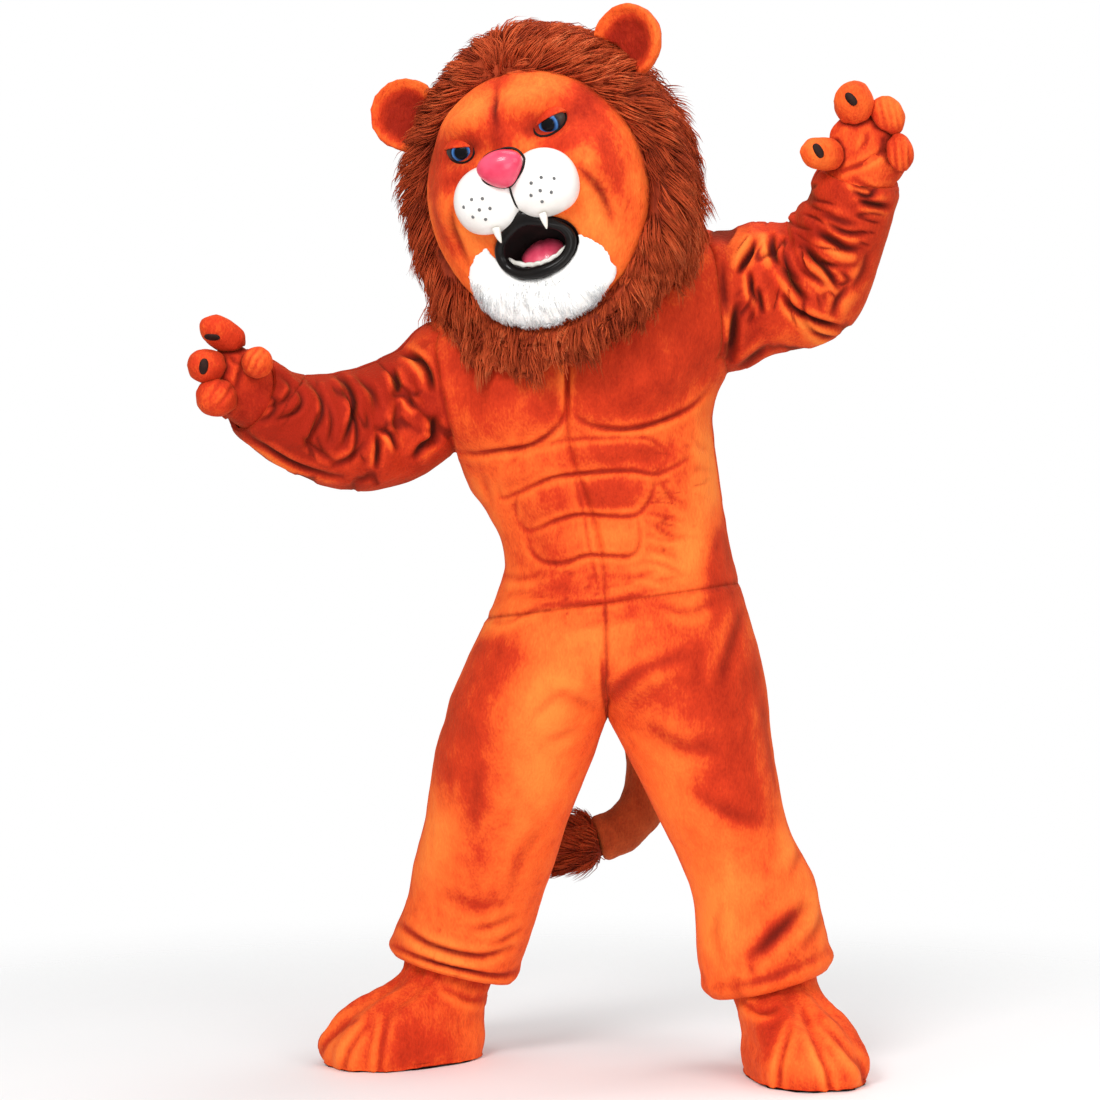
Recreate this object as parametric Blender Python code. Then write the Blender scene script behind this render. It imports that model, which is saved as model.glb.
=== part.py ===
# Lion costume as it is worn, arms raised and legs apart: muscle suit, mitts, paw boots, tail and head.
# +X is the wearer's left, -Y is the front and +Z is up. Sizes are in metres, angles in degrees.
# Heights in the tables are above the floor. One empty then lowers everything, so that the origin
# lies at the neck, where the wearer's shoulders carry the costume.

import math
from collections import namedtuple

import bmesh
import bpy
import numpy as np
from mathutils import Euler, Matrix, Vector
from mathutils.bvhtree import BVHTree

PLUSH = 0.006          # short fur fabric, backing and pile
GAP = 0.0003           # clearance between two pieces that touch
SEAM_PULL = 0.00018    # how far each panel's edge draws back from the seam line
NECK = Vector((0.050, -0.050, 1.440))     # where the wearer's shoulders carry the costume

ORANGE = (0.80, 0.19, 0.04, 1.0)
BROWN = (0.22, 0.055, 0.02, 1.0)
WHITE = (0.85, 0.83, 0.78, 1.0)
PINK = (0.75, 0.09, 0.16, 1.0)
BLACK = (0.012, 0.012, 0.013, 1.0)
DARK = (0.05, 0.018, 0.012, 1.0)
EYE_BLUE = (0.10, 0.16, 0.28, 1.0)

# The suit's levels from the trousers' fork up to the neck
Level = namedtuple("Level", "height x y half_width half_depth roll yaw")
BODY = [
    Level(0.650, 0.105, 0.010, 0.286, 0.170, 1.0, 2.0),
    Level(0.715, 0.108, 0.008, 0.277, 0.185, 2.5, 3.0),
    Level(0.785, 0.110, 0.004, 0.256, 0.180, 5.5, 4.0),
    Level(0.855, 0.113, 0.000, 0.230, 0.162, 8.0, 6.0),
    Level(0.945, 0.119, -0.006, 0.203, 0.150, 9.0, 11.0),
    Level(1.035, 0.101, -0.014, 0.208, 0.150, 11.0, 13.0),
    Level(1.125, 0.068, -0.022, 0.232, 0.158, 14.0, 12.0),
    Level(1.200, 0.056, -0.030, 0.252, 0.165, 16.0, 10.0),
    Level(1.290, 0.055, -0.038, 0.262, 0.166, 18.0, 8.0),
    Level(1.370, 0.053, -0.044, 0.258, 0.152, 18.5, 7.0),
    Level(1.425, 0.050, -0.048, 0.232, 0.132, 18.0, 6.0),
    Level(1.458, 0.048, -0.050, 0.185, 0.114, 17.0, 6.0),
    Level(1.480, 0.047, -0.050, 0.140, 0.100, 16.0, 6.0),
    Level(1.498, 0.046, -0.050, 0.112, 0.092, 16.0, 6.0),
]
SQUARENESS = 2.35      # exponent of the body's rounded cross-section
WAIST = 0.855          # height of the seam between the muscle top and the trousers
TOP_ROWS = [WAIST, 0.900, 0.934, 0.955, 0.990, 1.010, 1.030, 1.064, 1.084, 1.103, 1.128,
            1.147, 1.185, 1.235, 1.285, 1.335, 1.385, 1.430, 1.460, 1.482, 1.498]
HIP_ROWS = [WAIST, 0.812, 0.762, 0.715, 0.676]
FRONT_SHARES = [0, 0.035, 0.10, 0.18, 0.26, 0.33, 0.40, 0.48, 0.57, 0.68, 0.79, 0.90, 1.0]
BACK_SHARES = [0.16, 0.32, 0.49, 0.66, 0.83, 1.0]
FRONT = len(FRONT_SHARES) - 1
BACK = len(BACK_SHARES)
HALF = FRONT + BACK
ROUND = 2 * HALF
ARMHOLE_ROWS = (TOP_ROWS.index(1.185), TOP_ROWS.index(1.430))
ARMHOLE_REACH = (3, 2)      # columns that the armhole takes from the front and from the back

# Raised muscle pads: height of the centre, reach from the centre-front seam, and how far each stands out
Pad = namedtuple("Pad", "bottom top inner outer rise")
PADS = [
    Pad(1.147, 1.400, 0.004, 0.215, 0.026),
    Pad(1.084, 1.140, 0.003, 0.158, 0.013),
    Pad(1.010, 1.084, 0.003, 0.128, 0.014),
    Pad(0.934, 1.010, 0.003, 0.108, 0.013),
    Pad(1.020, 1.100, 0.150, 0.235, 0.007),
    Pad(0.945, 1.020, 0.135, 0.215, 0.006),
]

# Trouser legs below the fork, one row for each level: the ring's slope follows the spread leg
LegRing = namedtuple("LegRing", "height x y half_width half_depth slope")
FORK = Vector((0.103, 0.012, 0.640))
LEFT_LEG = [
    LegRing(0.640, 0.250, 0.005, 0.1465, 0.158, 0.02),
    LegRing(0.594, 0.266, 0.010, 0.135, 0.150, 0.06),
    LegRing(0.511, 0.293, 0.020, 0.119, 0.136, 0.10),
    LegRing(0.420, 0.328, 0.030, 0.108, 0.124, 0.13),
    LegRing(0.346, 0.364, 0.040, 0.110, 0.122, 0.16),
    LegRing(0.272, 0.377, 0.050, 0.115, 0.124, 0.20),
    LegRing(0.216, 0.386, 0.058, 0.119, 0.128, 0.24),
    LegRing(0.180, 0.396, 0.062, 0.118, 0.128, 0.26),
    LegRing(0.158, 0.400, 0.064, 0.110, 0.121, 0.26),
]
RIGHT_LEG = [
    LegRing(0.640, -0.0435, 0.008, 0.1465, 0.158, -0.02),
    LegRing(0.592, -0.058, 0.030, 0.147, 0.152, -0.06),
    LegRing(0.508, -0.084, 0.062, 0.136, 0.142, -0.10),
    LegRing(0.413, -0.108, 0.098, 0.128, 0.132, -0.13),
    LegRing(0.336, -0.130, 0.130, 0.125, 0.128, -0.16),
    LegRing(0.258, -0.152, 0.160, 0.119, 0.126, -0.20),
    LegRing(0.206, -0.170, 0.178, 0.123, 0.128, -0.24),
    LegRing(0.172, -0.180, 0.186, 0.122, 0.128, -0.26),
    LegRing(0.150, -0.182, 0.190, 0.113, 0.121, -0.26),
]
LEG_ROWS = 12

# Sleeve rings from the armhole to the wrist: tilt leans a ring in the front view, swing turns it forwards
Ring = namedtuple("Ring", "x y z half_height half_depth tilt swing")
LEFT_SLEEVE = [
    Ring(0.304, -0.046, 1.392, 0.127, 0.108, 6.0, 0.0),
    Ring(0.342, -0.046, 1.392, 0.129, 0.114, 4.0, 2.0),
    Ring(0.384, -0.048, 1.416, 0.122, 0.112, 8.0, 5.0),
    Ring(0.420, -0.052, 1.412, 0.119, 0.110, 11.0, 10.0),
    Ring(0.460, -0.060, 1.427, 0.117, 0.106, 20.0, 15.0),
    Ring(0.487, -0.070, 1.446, 0.115, 0.102, 29.0, 20.0),
    Ring(0.500, -0.084, 1.473, 0.100, 0.095, 38.0, 24.0),
    Ring(0.517, -0.104, 1.512, 0.085, 0.085, 50.0, 26.0),
    Ring(0.530, -0.124, 1.554, 0.078, 0.077, 64.0, 26.0),
    Ring(0.539, -0.145, 1.600, 0.073, 0.070, 78.0, 24.0),
]
RIGHT_SLEEVE = [
    Ring(-0.194, -0.040, 1.236, 0.117, 0.104, 14.0, 0.0),
    Ring(-0.228, -0.042, 1.210, 0.119, 0.110, 15.0, 5.0),
    Ring(-0.257, -0.048, 1.186, 0.116, 0.110, 13.0, 12.0),
    Ring(-0.292, -0.060, 1.168, 0.114, 0.108, 9.0, 18.0),
    Ring(-0.347, -0.088, 1.156, 0.110, 0.104, 7.0, 26.0),
    Ring(-0.399, -0.120, 1.155, 0.099, 0.096, 2.0, 32.0),
    Ring(-0.452, -0.155, 1.169, 0.084, 0.084, -7.0, 36.0),
    Ring(-0.486, -0.183, 1.189, 0.075, 0.075, -15.0, 38.0),
    Ring(-0.514, -0.210, 1.213, 0.070, 0.068, -24.0, 38.0),
]
SLEEVE_ROWS = 16
SLEEVE_TURN = 2 * (sum(ARMHOLE_REACH) + ARMHOLE_ROWS[1] - ARMHOLE_ROWS[0])

# Folds of a sleeve: place along it, the side it is deepest on (90 top, 180 front, 270 below), its reach
# round the arm, depth, half width as a share of the length, and how far it slants
Fold = namedtuple("Fold", "along around reach depth width slant")
LEFT_FOLDS = [
    Fold(0.13, 205, 100, 0.015, 0.050, 0.03),
    Fold(0.30, 165, 110, 0.020, 0.050, 0.07),
    Fold(0.45, 140, 110, 0.022, 0.045, 0.06),
    Fold(0.60, 150, 110, 0.016, 0.045, 0.05),
    Fold(0.75, 160, 120, 0.010, 0.045, 0.04),
    Fold(0.28, 350, 100, 0.014, 0.055, -0.05),
    Fold(0.52, 15, 100, 0.013, 0.055, -0.05),
]
RIGHT_FOLDS = [
    Fold(0.13, 140, 100, 0.020, 0.050, -0.05),
    Fold(0.29, 175, 110, 0.016, 0.050, 0.03),
    Fold(0.44, 165, 110, 0.015, 0.045, 0.04),
    Fold(0.59, 175, 110, 0.013, 0.045, 0.04),
    Fold(0.74, 180, 120, 0.009, 0.045, 0.03),
    Fold(0.30, 350, 100, 0.013, 0.055, -0.04),
    Fold(0.55, 15, 100, 0.011, 0.055, -0.04),
]

# The head is modelled upright in its own frame, then leaned and turned
HEAD_AT = Vector((0.003, -0.152, 1.585))
HEAD_TURN = dict(pitch=8.0, roll=15.0, yaw=20.0)
HEAD_COLUMNS = 24
SHELL = 0.010          # face: foam and plush
MANE_WALL = 0.018      # hood: backing and long pile
FACE_TOP = [(0, -0.085, 0.200), (0, -0.128, 0.192), (0, -0.165, 0.160), (0, -0.182, 0.120),
            (0, -0.196, 0.078), (0, -0.207, 0.036), (0, -0.213, -0.004), (0, -0.209, -0.042)]
FACE_SIDE = [(0.190, -0.062, -0.010), (0.193, -0.100, -0.012), (0.182, -0.134, -0.020),
             (0.162, -0.154, -0.032), (0.140, -0.166, -0.046), (0.118, -0.174, -0.062),
             (0.097, -0.180, -0.078), (0.077, -0.183, -0.093)]
FACE_BOTTOM = [(0, -0.152, -0.222), (0, -0.168, -0.220), (0, -0.180, -0.213), (0, -0.188, -0.203),
               (0, -0.193, -0.191), (0, -0.196, -0.178), (0, -0.197, -0.163), (0, -0.195, -0.148)]
FACE_ROWS = 8
MANE_TOP = [(0, -0.100, 0.2008), (0, -0.088, 0.246), (0, -0.020, 0.280), (0, 0.075, 0.272),
            (0, 0.165, 0.218), (0, 0.212, 0.120), (0, 0.222, 0.000), (0, 0.220, -0.110), (0, 0.210, -0.200)]
MANE_SIDE = [(0.1932, -0.076, -0.010), (0.237, -0.084, 0.002), (0.260, -0.045, -0.006),
             (0.258, 0.000, -0.034), (0.250, 0.026, -0.072), (0.243, 0.036, -0.108),
             (0.238, 0.040, -0.140), (0.233, 0.040, -0.168), (0.230, 0.036, -0.192)]
MANE_BOTTOM = [(0, -0.162, -0.2230), (0, -0.188, -0.236), (0, -0.199, -0.248), (0, -0.203, -0.258),
               (0, -0.204, -0.267), (0, -0.202, -0.275), (0, -0.198, -0.282), (0, -0.194, -0.289),
               (0, -0.190, -0.295)]
MANE_ROWS = 8
MANE_SWAY = -0.030     # the loose lower edge hangs plumb under the tilted head
MANE_SEAM = 3          # ring of the seam between the band round the face and the back of the hood
SEAM_HALF = 0.00025
LOCK_RISE = 0.007
LOCK_HANG = 0.020
MANE_GAP = 0.0030      # the hood hangs on the shoulders

# Soft swellings and hollows of the face, made on both sides
Swell = namedtuple("Swell", "x z reach_x reach_z lean rise")
FACE_FORMS = [
    Swell(0.072, 0.150, 0.050, 0.026, 22, 0.016),
    Swell(0.030, 0.108, 0.022, 0.024, 0, 0.008),
    Swell(0.092, 0.100, 0.030, 0.016, 25, -0.010),
    Swell(0.135, 0.010, 0.040, 0.050, 0, 0.012),
    Swell(0.0, 0.155, 0.014, 0.040, 0, -0.007),
]


def spline(rows, t):
    # Catmull-Rom curve through the rows of a table, read at t, counted in rows
    rows = np.asarray(rows, float)
    t = np.clip(np.atleast_1d(np.asarray(t, float)), 0, len(rows) - 1)
    i = np.minimum(t.astype(int), len(rows) - 2)
    f = (t - i)[:, None]
    padded = np.vstack([2 * rows[0] - rows[1], rows, 2 * rows[-1] - rows[-2]])
    a, b, c, d = (padded[i + k] for k in range(4))
    return 0.5 * (2 * b + (c - a) * f + (2 * a - 5 * b + 4 * c - d) * f ** 2
                  + (3 * b - a - 3 * c + d) * f ** 3)


def even(rows, count, places=3):
    # count + 1 rows evenly spaced along the curve that the first columns of a table draw
    fine = spline(rows, np.linspace(0, len(rows) - 1, 400))
    run = np.linalg.norm(np.diff(fine[:, :places], axis=0), axis=1)
    reach = np.concatenate([[0], np.cumsum(run)])
    wanted = np.linspace(0, reach[-1], count + 1)
    return np.column_stack([np.interp(wanted, reach, column) for column in fine.T])


def at_height(table, height):
    # A table's row at any height; its rows run up or down
    rows = np.asarray(table, float)
    if rows[0, 0] > rows[-1, 0]:
        rows = rows[::-1]
    return spline(rows, np.interp(height, rows[:, 0], np.arange(len(rows))))[0]


def smooth_step(x):
    x = min(max(x, 0.0), 1.0)
    return x * x * (3 - 2 * x)


def pillow(x, low, high, power=4):
    # 1 in the middle of a pad and 0 at its stitched edges
    middle, half = (low + high) / 2, (high - low) / 2
    return math.sqrt(max(0.0, 1 - abs((x - middle) / half) ** power))


def cloth(name, colour, roughness=0.85, metallic=0.0):
    material = bpy.data.materials.get(name) or bpy.data.materials.new(name)
    material.use_nodes = True
    shader = material.node_tree.nodes["Principled BSDF"]
    shader.inputs["Base Color"].default_value = colour
    shader.inputs["Roughness"].default_value = roughness
    shader.inputs["Metallic"].default_value = metallic
    return material


def add_object(name, points, polygons, material, parent, smooth=True):
    mesh = bpy.data.meshes.new(name)
    mesh.from_pydata([tuple(p) for p in points], [], polygons)
    mesh.validate()
    if smooth:
        mesh.shade_smooth()
    mesh.materials.append(material)
    obj = bpy.data.objects.new(name, mesh)
    bpy.context.scene.collection.objects.link(obj)
    obj.parent = parent
    return obj


def add_empty(name, location, rotation=(0, 0, 0), parent=None):
    empty = bpy.data.objects.new(name, None)
    empty.location = location
    empty.rotation_euler = rotation
    empty.parent = parent
    bpy.context.scene.collection.objects.link(empty)
    return empty


def tube_polygons(rows, turn, cap_start=False, cap_end=False, first=0):
    # Triangles between rings of turn points; every copy of a surface then has the same diagonals
    faces = []
    for r in range(rows - 1):
        for k in range(turn):
            a, b = first + r * turn + k, first + r * turn + (k + 1) % turn
            faces.append((a, b, b + turn))
            faces.append((a, b + turn, a + turn))
    if cap_start:
        faces.append(tuple(first + k for k in reversed(range(turn))))
    if cap_end:
        faces.append(tuple(first + (rows - 1) * turn + k for k in range(turn)))
    return faces


def split(ids):
    # A four-sided face as two triangles, always along the same diagonal
    return [tuple(ids[:3]), (ids[0], ids[2], ids[3])] if len(ids) == 4 else [tuple(ids)]


def facing_out(points, polygons):
    # The polygons turned, if need be, so that a closed or nearly closed surface has a positive volume
    volume = 0.0
    for face in polygons:
        a = Vector(points[face[0]])
        for i in range(1, len(face) - 1):
            volume += a.dot(Vector(points[face[i]]).cross(Vector(points[face[i + 1]])))
    return polygons if volume > 0 else [tuple(reversed(face)) for face in polygons]


def normals_of(points, polygons):
    mesh = bpy.data.meshes.new("measured")
    mesh.from_pydata([tuple(p) for p in points], [], polygons)
    mesh.update()
    found = [v.normal.copy() for v in mesh.vertices]
    bpy.data.meshes.remove(mesh)
    return found


def swollen(name, points, polygons, parent, by=GAP):
    # A hidden copy of a body, a little larger all round, that cuts its neighbours clear of it
    found = normals_of(points, polygons)
    grown = [Vector(p) + n * by for p, n in zip(points, found)]
    cutter = add_object(name, grown, polygons, cloth("cutter", WHITE), parent)
    cutter.hide_render = True
    cutter.display_type = "WIRE"
    return cutter


def cut_clear(obj, *cutters):
    for cutter in cutters:
        modifier = obj.modifiers.new("clear_of_" + cutter.name, "BOOLEAN")
        modifier.operation = "DIFFERENCE"
        modifier.solver = "EXACT"
        modifier.object = cutter


def quarter(half_width, half_depth, shares):
    # Points from the middle of the front to the side of a rounded section, at shares of that arc
    turn = np.radians(np.linspace(0, 90, 91))
    x = half_width * np.sin(turn) ** (2 / SQUARENESS)
    y = half_depth * np.cos(turn) ** (2 / SQUARENESS)
    run = np.concatenate([[0], np.cumsum(np.hypot(np.diff(x), np.diff(y)))])
    wanted = np.asarray(shares) * run[-1]
    return np.interp(wanted, run, x), np.interp(wanted, run, y), wanted


def body_ring(height):
    # One level of the suit, from the centre front round by the wearer's left: points, and how far round each lies
    level = Level(*at_height(BODY, height))
    fx, fy, fu = quarter(level.half_width, level.half_depth, FRONT_SHARES)
    bx, by, bu = quarter(level.half_width, level.half_depth, [1 - s for s in BACK_SHARES])
    half = [(x, -y) for x, y in zip(fx, fy)] + [(x, y) for x, y in zip(bx, by)]
    ring = half + [(-x, y) for x, y in half[-2:0:-1]]
    reach = list(fu) + [2.0] * BACK
    reach = reach + reach[-2:0:-1]
    yaw, roll = math.radians(level.yaw), math.radians(level.roll)
    points = []
    for x, y in ring:
        across = x * math.cos(yaw) + y * math.sin(yaw)
        depth = -x * math.sin(yaw) + y * math.cos(yaw)
        points.append(Vector((level.x + across * math.cos(roll), level.y + depth,
                              height + across * math.sin(roll))))
    return points, reach


def pad_rise(height, reach):
    # How far the muscle pads lift the cloth at a height and a distance from the centre-front seam
    best = 0.0
    for pad in PADS:
        if pad.bottom < height < pad.top and pad.inner < reach < pad.outer:
            up = pillow(height, pad.bottom, pad.top)
            out = pillow(reach, pad.inner, pad.outer)
            fade = 1.0
            if pad is PADS[0]:      # the chest pads melt into the shoulder and curve down to the armpit
                fade = smooth_step((pad.top - height) / 0.14)
            best = max(best, pad.rise * up * out * fade)
    return best


def leg_degrees(k):
    # The way round a trouser leg of its column k: denser in front than behind
    return 180 * k / FRONT if k <= FRONT else 180 * (1 + (k - FRONT) / BACK)


def leg_ring(table, height, side):
    # A closed level of a trouser leg: from the inside of the thigh round the front to the back
    row = LegRing(*at_height(table, height))
    points = []
    for k in range(HALF):
        turn = math.radians(leg_degrees(k))
        x = -side * row.half_width * math.cos(turn)
        y = -row.half_depth * math.sin(turn)
        points.append(Vector((row.x + x, row.y + y, height + row.slope * x)))
    return points


def sleeve_frame(ring, side):
    tilt, swing = math.radians(ring.tilt), math.radians(ring.swing)
    up = Vector((-math.sin(tilt), 0, math.cos(tilt)))
    along = side * Vector((math.cos(tilt), 0, math.sin(tilt)))
    back = math.cos(swing) * Vector((0, 1, 0)) + math.sin(swing) * along
    return Vector((ring.x, ring.y, ring.z)), up, back


def sleeve_point(ring, side, degrees):
    # Degrees run from the back of the arm (0) over its top (90) to its front (180) and underside (270)
    centre, up, back = sleeve_frame(ring, side)
    turn = math.radians(degrees)
    return centre + up * ring.half_height * math.sin(turn) + back * ring.half_depth * math.cos(turn)


def fold_depth(folds, along, degrees):
    total = 0.0
    for fold in folds:
        off = (degrees - fold.around + 180) % 360 - 180
        share = min(abs(off) / fold.reach, 1.0)
        trough = math.exp(-((along - fold.along - fold.slant * off / 90) / fold.width) ** 2)
        total -= fold.depth * trough * math.cos(math.pi / 2 * share) ** 2
        brim = math.exp(-((along - fold.along - fold.slant * off / 90 - 1.7 * fold.width) / fold.width) ** 2)
        total += 0.45 * fold.depth * brim * math.cos(math.pi / 2 * share) ** 2
    ease = smooth_step((0.93 - along) / 0.08) * smooth_step(along / 0.05)
    return total * ease


# Drags and folds of a trouser leg: height, the way round it is deepest on (0 inside, 90 front,
# 180 outside, 270 back), reach round the leg, depth (a ridge is negative), half height and slant
LegFold = namedtuple("LegFold", "height around reach depth half_height slant")
LEG_FOLDS = [
    LegFold(0.585, 60, 110, 0.009, 0.030, 0.05),
    LegFold(0.500, 110, 110, -0.008, 0.035, 0.05),
    LegFold(0.420, 60, 100, 0.008, 0.030, -0.04),
    LegFold(0.360, 130, 110, -0.007, 0.030, -0.05),
    LegFold(0.288, 95, 140, 0.012, 0.022, -0.02),
    LegFold(0.245, 90, 170, -0.008, 0.024, 0.01),
    LegFold(0.300, 270, 120, 0.011, 0.024, 0.03),
    LegFold(0.400, 270, 120, 0.009, 0.030, -0.03),
]


def leg_fold(height, degrees, side):
    total = 0.0
    for fold in LEG_FOLDS:
        off = (degrees - fold.around - 8 * side + 180) % 360 - 180
        share = min(abs(off) / fold.reach, 1.0)
        drop = (height - fold.height - fold.slant * off / 90 + 0.012 * side) / fold.half_height
        total -= fold.depth * math.exp(-drop ** 2) * math.cos(math.pi / 2 * share) ** 2
    return total * smooth_step((FORK.z - height) / 0.05) * smooth_step((height - 0.17) / 0.04)


class Suit:
    # The suit's whole outer surface as one mesh. Each face remembers the panel it is cut from.

    def __init__(self):
        self.mesh = bmesh.new()
        self.fold = self.mesh.verts.layers.float.new("fold")
        self.relief = self.mesh.verts.layers.float.new("relief")
        self.panels = {}

    def vertex(self, point, fold=0.0, relief=0.0):
        vert = self.mesh.verts.new(point)
        vert[self.fold] = fold
        vert[self.relief] = relief
        return vert

    def face(self, panel, corners):
        self.panels.setdefault(panel, []).append(self.mesh.faces.new(corners))

    def body_panel(self, k, part):
        side = "left" if k < HALF else "right"
        front = k < FRONT or k >= ROUND - FRONT
        return f"{part}_{'front' if front else 'back'}_{side}"

    def in_armhole(self, row, k):
        mirrored = k if k < HALF else ROUND - 1 - k
        return (ARMHOLE_ROWS[0] <= row < ARMHOLE_ROWS[1]
                and FRONT - ARMHOLE_REACH[0] <= mirrored < FRONT + ARMHOLE_REACH[1])

    def make_top(self):
        self.top = []
        for height in TOP_ROWS:
            points, reach = body_ring(height)
            self.top.append([self.vertex(p, relief=pad_rise(height, u)) for p, u in zip(points, reach)])
        self.sew_rings(self.top, "top", self.in_armhole)

    def sew_rings(self, rings, part, skip=lambda row, k: False):
        for r in range(len(rings) - 1):
            for k in range(ROUND):
                if not skip(r, k):
                    n = (k + 1) % ROUND
                    self.face(self.body_panel(k, part),
                              (rings[r][k], rings[r][n], rings[r + 1][n], rings[r + 1][k]))

    def make_hips(self):
        rings = [self.top[0]]
        for height in HIP_ROWS[1:]:
            points, _ = body_ring(height)
            share = smooth_step((height - FORK.z) / 0.085)
            legs = self.leg_points(height)
            rings.append([self.vertex(leg.lerp(p, share)) for p, leg in zip(points, legs)])
        for r in range(len(rings) - 1):
            for k in range(ROUND):
                n = (k + 1) % ROUND
                self.face(self.body_panel(k, "leg"),
                          (rings[r + 1][k], rings[r + 1][n], rings[r][n], rings[r][k]))
        self.hips = rings[-1]

    def leg_points(self, height):
        # Both legs' levels as one round of points; the seam points of front and back share the inside of the leg
        left = leg_ring(LEFT_LEG, height, 1)
        right = leg_ring(RIGHT_LEG, height, -1)
        middle = (left[0] + right[0]) / 2
        return [middle] + left[1:] + [middle] + right[:0:-1]

    def make_legs(self):
        fork = self.vertex(FORK)
        for side, table, columns in ((1, LEFT_LEG, range(HALF + 1)),
                                     (-1, RIGHT_LEG, range(ROUND, HALF - 1, -1))):
            above = [self.hips[k % ROUND] for k in columns]
            start = [fork] + [self.vertex(p) for p in leg_ring(table, FORK.z, side)[1:]] + [fork]
            rows = [above, start]
            for height in np.linspace(FORK.z, table[-1].height, LEG_ROWS)[1:]:
                points = leg_ring(table, height, side)
                ring = [self.vertex(p, leg_fold(height, leg_degrees(i), side)) for i, p in enumerate(points)]
                rows.append(ring + [ring[0]])
            name = "left" if side > 0 else "right"
            for upper, lower in zip(rows, rows[1:]):
                for i in range(HALF):
                    part = "front" if i < FRONT else "back"
                    corners = (upper[i], lower[i], lower[i + 1], upper[i + 1])
                    self.face(f"leg_{part}_{name}", corners if side > 0 else corners[::-1])

    def make_sleeve(self, side, table, folds):
        name = "left" if side > 0 else "right"
        low, high = ARMHOLE_ROWS
        front, back = FRONT - ARMHOLE_REACH[0], FRONT + ARMHOLE_REACH[1]

        def at(row, k):
            return self.top[row][k if side > 0 else ROUND - k]

        loop = ([at(r, front) for r in range(low, high)] + [at(high, k) for k in range(front, back)]
                + [at(r, back) for r in range(high, low, -1)] + [at(low, k) for k in range(back, front, -1)])
        turns = [-135 - 360 * j / SLEEVE_TURN for j in range(SLEEVE_TURN)]
        sections = [Ring(*row) for row in even(table, SLEEVE_ROWS)]
        for vert, turn in zip(loop, turns):
            vert.co = sleeve_point(sections[0], side, turn)
            vert[self.relief] = 0.0
        rows = [loop]
        for r, ring in enumerate(sections[1:], 1):
            along = r / SLEEVE_ROWS
            rows.append([self.vertex(sleeve_point(ring, side, turn), fold_depth(folds, along, turn % 360))
                         for turn in turns])
        for inner, outer in zip(rows, rows[1:]):
            for j in range(SLEEVE_TURN):
                n = (j + 1) % SLEEVE_TURN
                part = "front" if self.faces_front(turns[j]) else "back"
                corners = (inner[j], outer[j], outer[n], inner[n])
                self.face(f"sleeve_{part}_{name}", corners if side > 0 else corners[::-1])
        self.relax(loop)

    def faces_front(self, turn):
        # The sleeve's two seams run along its top and its underside
        step = 360 / SLEEVE_TURN
        return 90 + step / 2 < turn % 360 < 270 + 2 * step

    def relax(self, loop):
        # Evens out the body panels where the round armhole was let into them
        fixed = set(loop)
        near, edge = set(loop), set(loop)
        for _ in range(2):
            edge = {e.other_vert(v) for v in edge for e in v.link_edges} - near
            near |= edge
        moving = [v for v in near - fixed if v in self.body_verts]
        for _ in range(4):
            bmesh.ops.smooth_vert(self.mesh, verts=moving, factor=0.4, use_axis_x=True,
                                  use_axis_y=True, use_axis_z=True)

    def make(self):
        self.make_top()
        self.body_verts = {v for ring in self.top[1:-1] for v in ring}
        self.make_hips()
        self.make_legs()
        self.make_sleeve(1, LEFT_SLEEVE, LEFT_FOLDS)
        self.make_sleeve(-1, RIGHT_SLEEVE, RIGHT_FOLDS)
        loose = [v for v in self.mesh.verts if not v.link_faces]
        bmesh.ops.delete(self.mesh, geom=loose, context="VERTS")
        self.mesh.verts.index_update()
        self.mesh.normal_update()
        self.normals = [v.normal.copy() for v in self.mesh.verts]
        self.mitre = [self.mitre_of(v) for v in self.mesh.verts]
        self.outer = [v.co + n * (v[self.fold] + v[self.relief])
                      for v, n in zip(self.mesh.verts, self.normals)]
        self.inner = [v.co + n * (v[self.fold] - PLUSH * m)
                      for v, n, m in zip(self.mesh.verts, self.normals, self.mitre)]

    def mitre_of(self, vert):
        # At a sharp seam the wall's corner is longer than the cloth is thick
        least = min(vert.normal.dot(f.normal) for f in vert.link_faces)
        return min(1 / max(least, 0.5), 1.35)

    def leg_faces(self):
        return [corner for name, panel in self.panels.items() if name.startswith("leg")
                for f in panel if f.calc_center_median().z < 0.33
                for corner in split([v.index for v in f.verts])]

    def push_clear(self, tree, gap):
        # Lifts the trousers off the boots that they hang over
        moved = settle(tree, self.inner, self.leg_faces(), gap, lambda i: self.inner[i].z < 0.20)
        self.outer = [p + m for p, m in zip(self.outer, moved)]

    def seam_shift(self, faces):
        # How each edge point of a panel draws back from its seams
        chosen = set(faces)
        inward = {}
        for face in faces:
            for corner in face.loops:
                if sum(f in chosen for f in corner.edge.link_faces) == 1:
                    a, b = corner.vert, corner.link_loop_next.vert
                    drawn = face.normal.cross((b.co - a.co).normalized())
                    inward.setdefault(a.index, []).append(drawn)
                    inward.setdefault(b.index, []).append(drawn)
        shifts = {}
        for index, drawn in inward.items():
            total = sum(drawn, Vector()) / len(drawn)
            shifts[index] = total * (SEAM_PULL / max(total.length_squared, 0.35))
        return shifts

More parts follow.
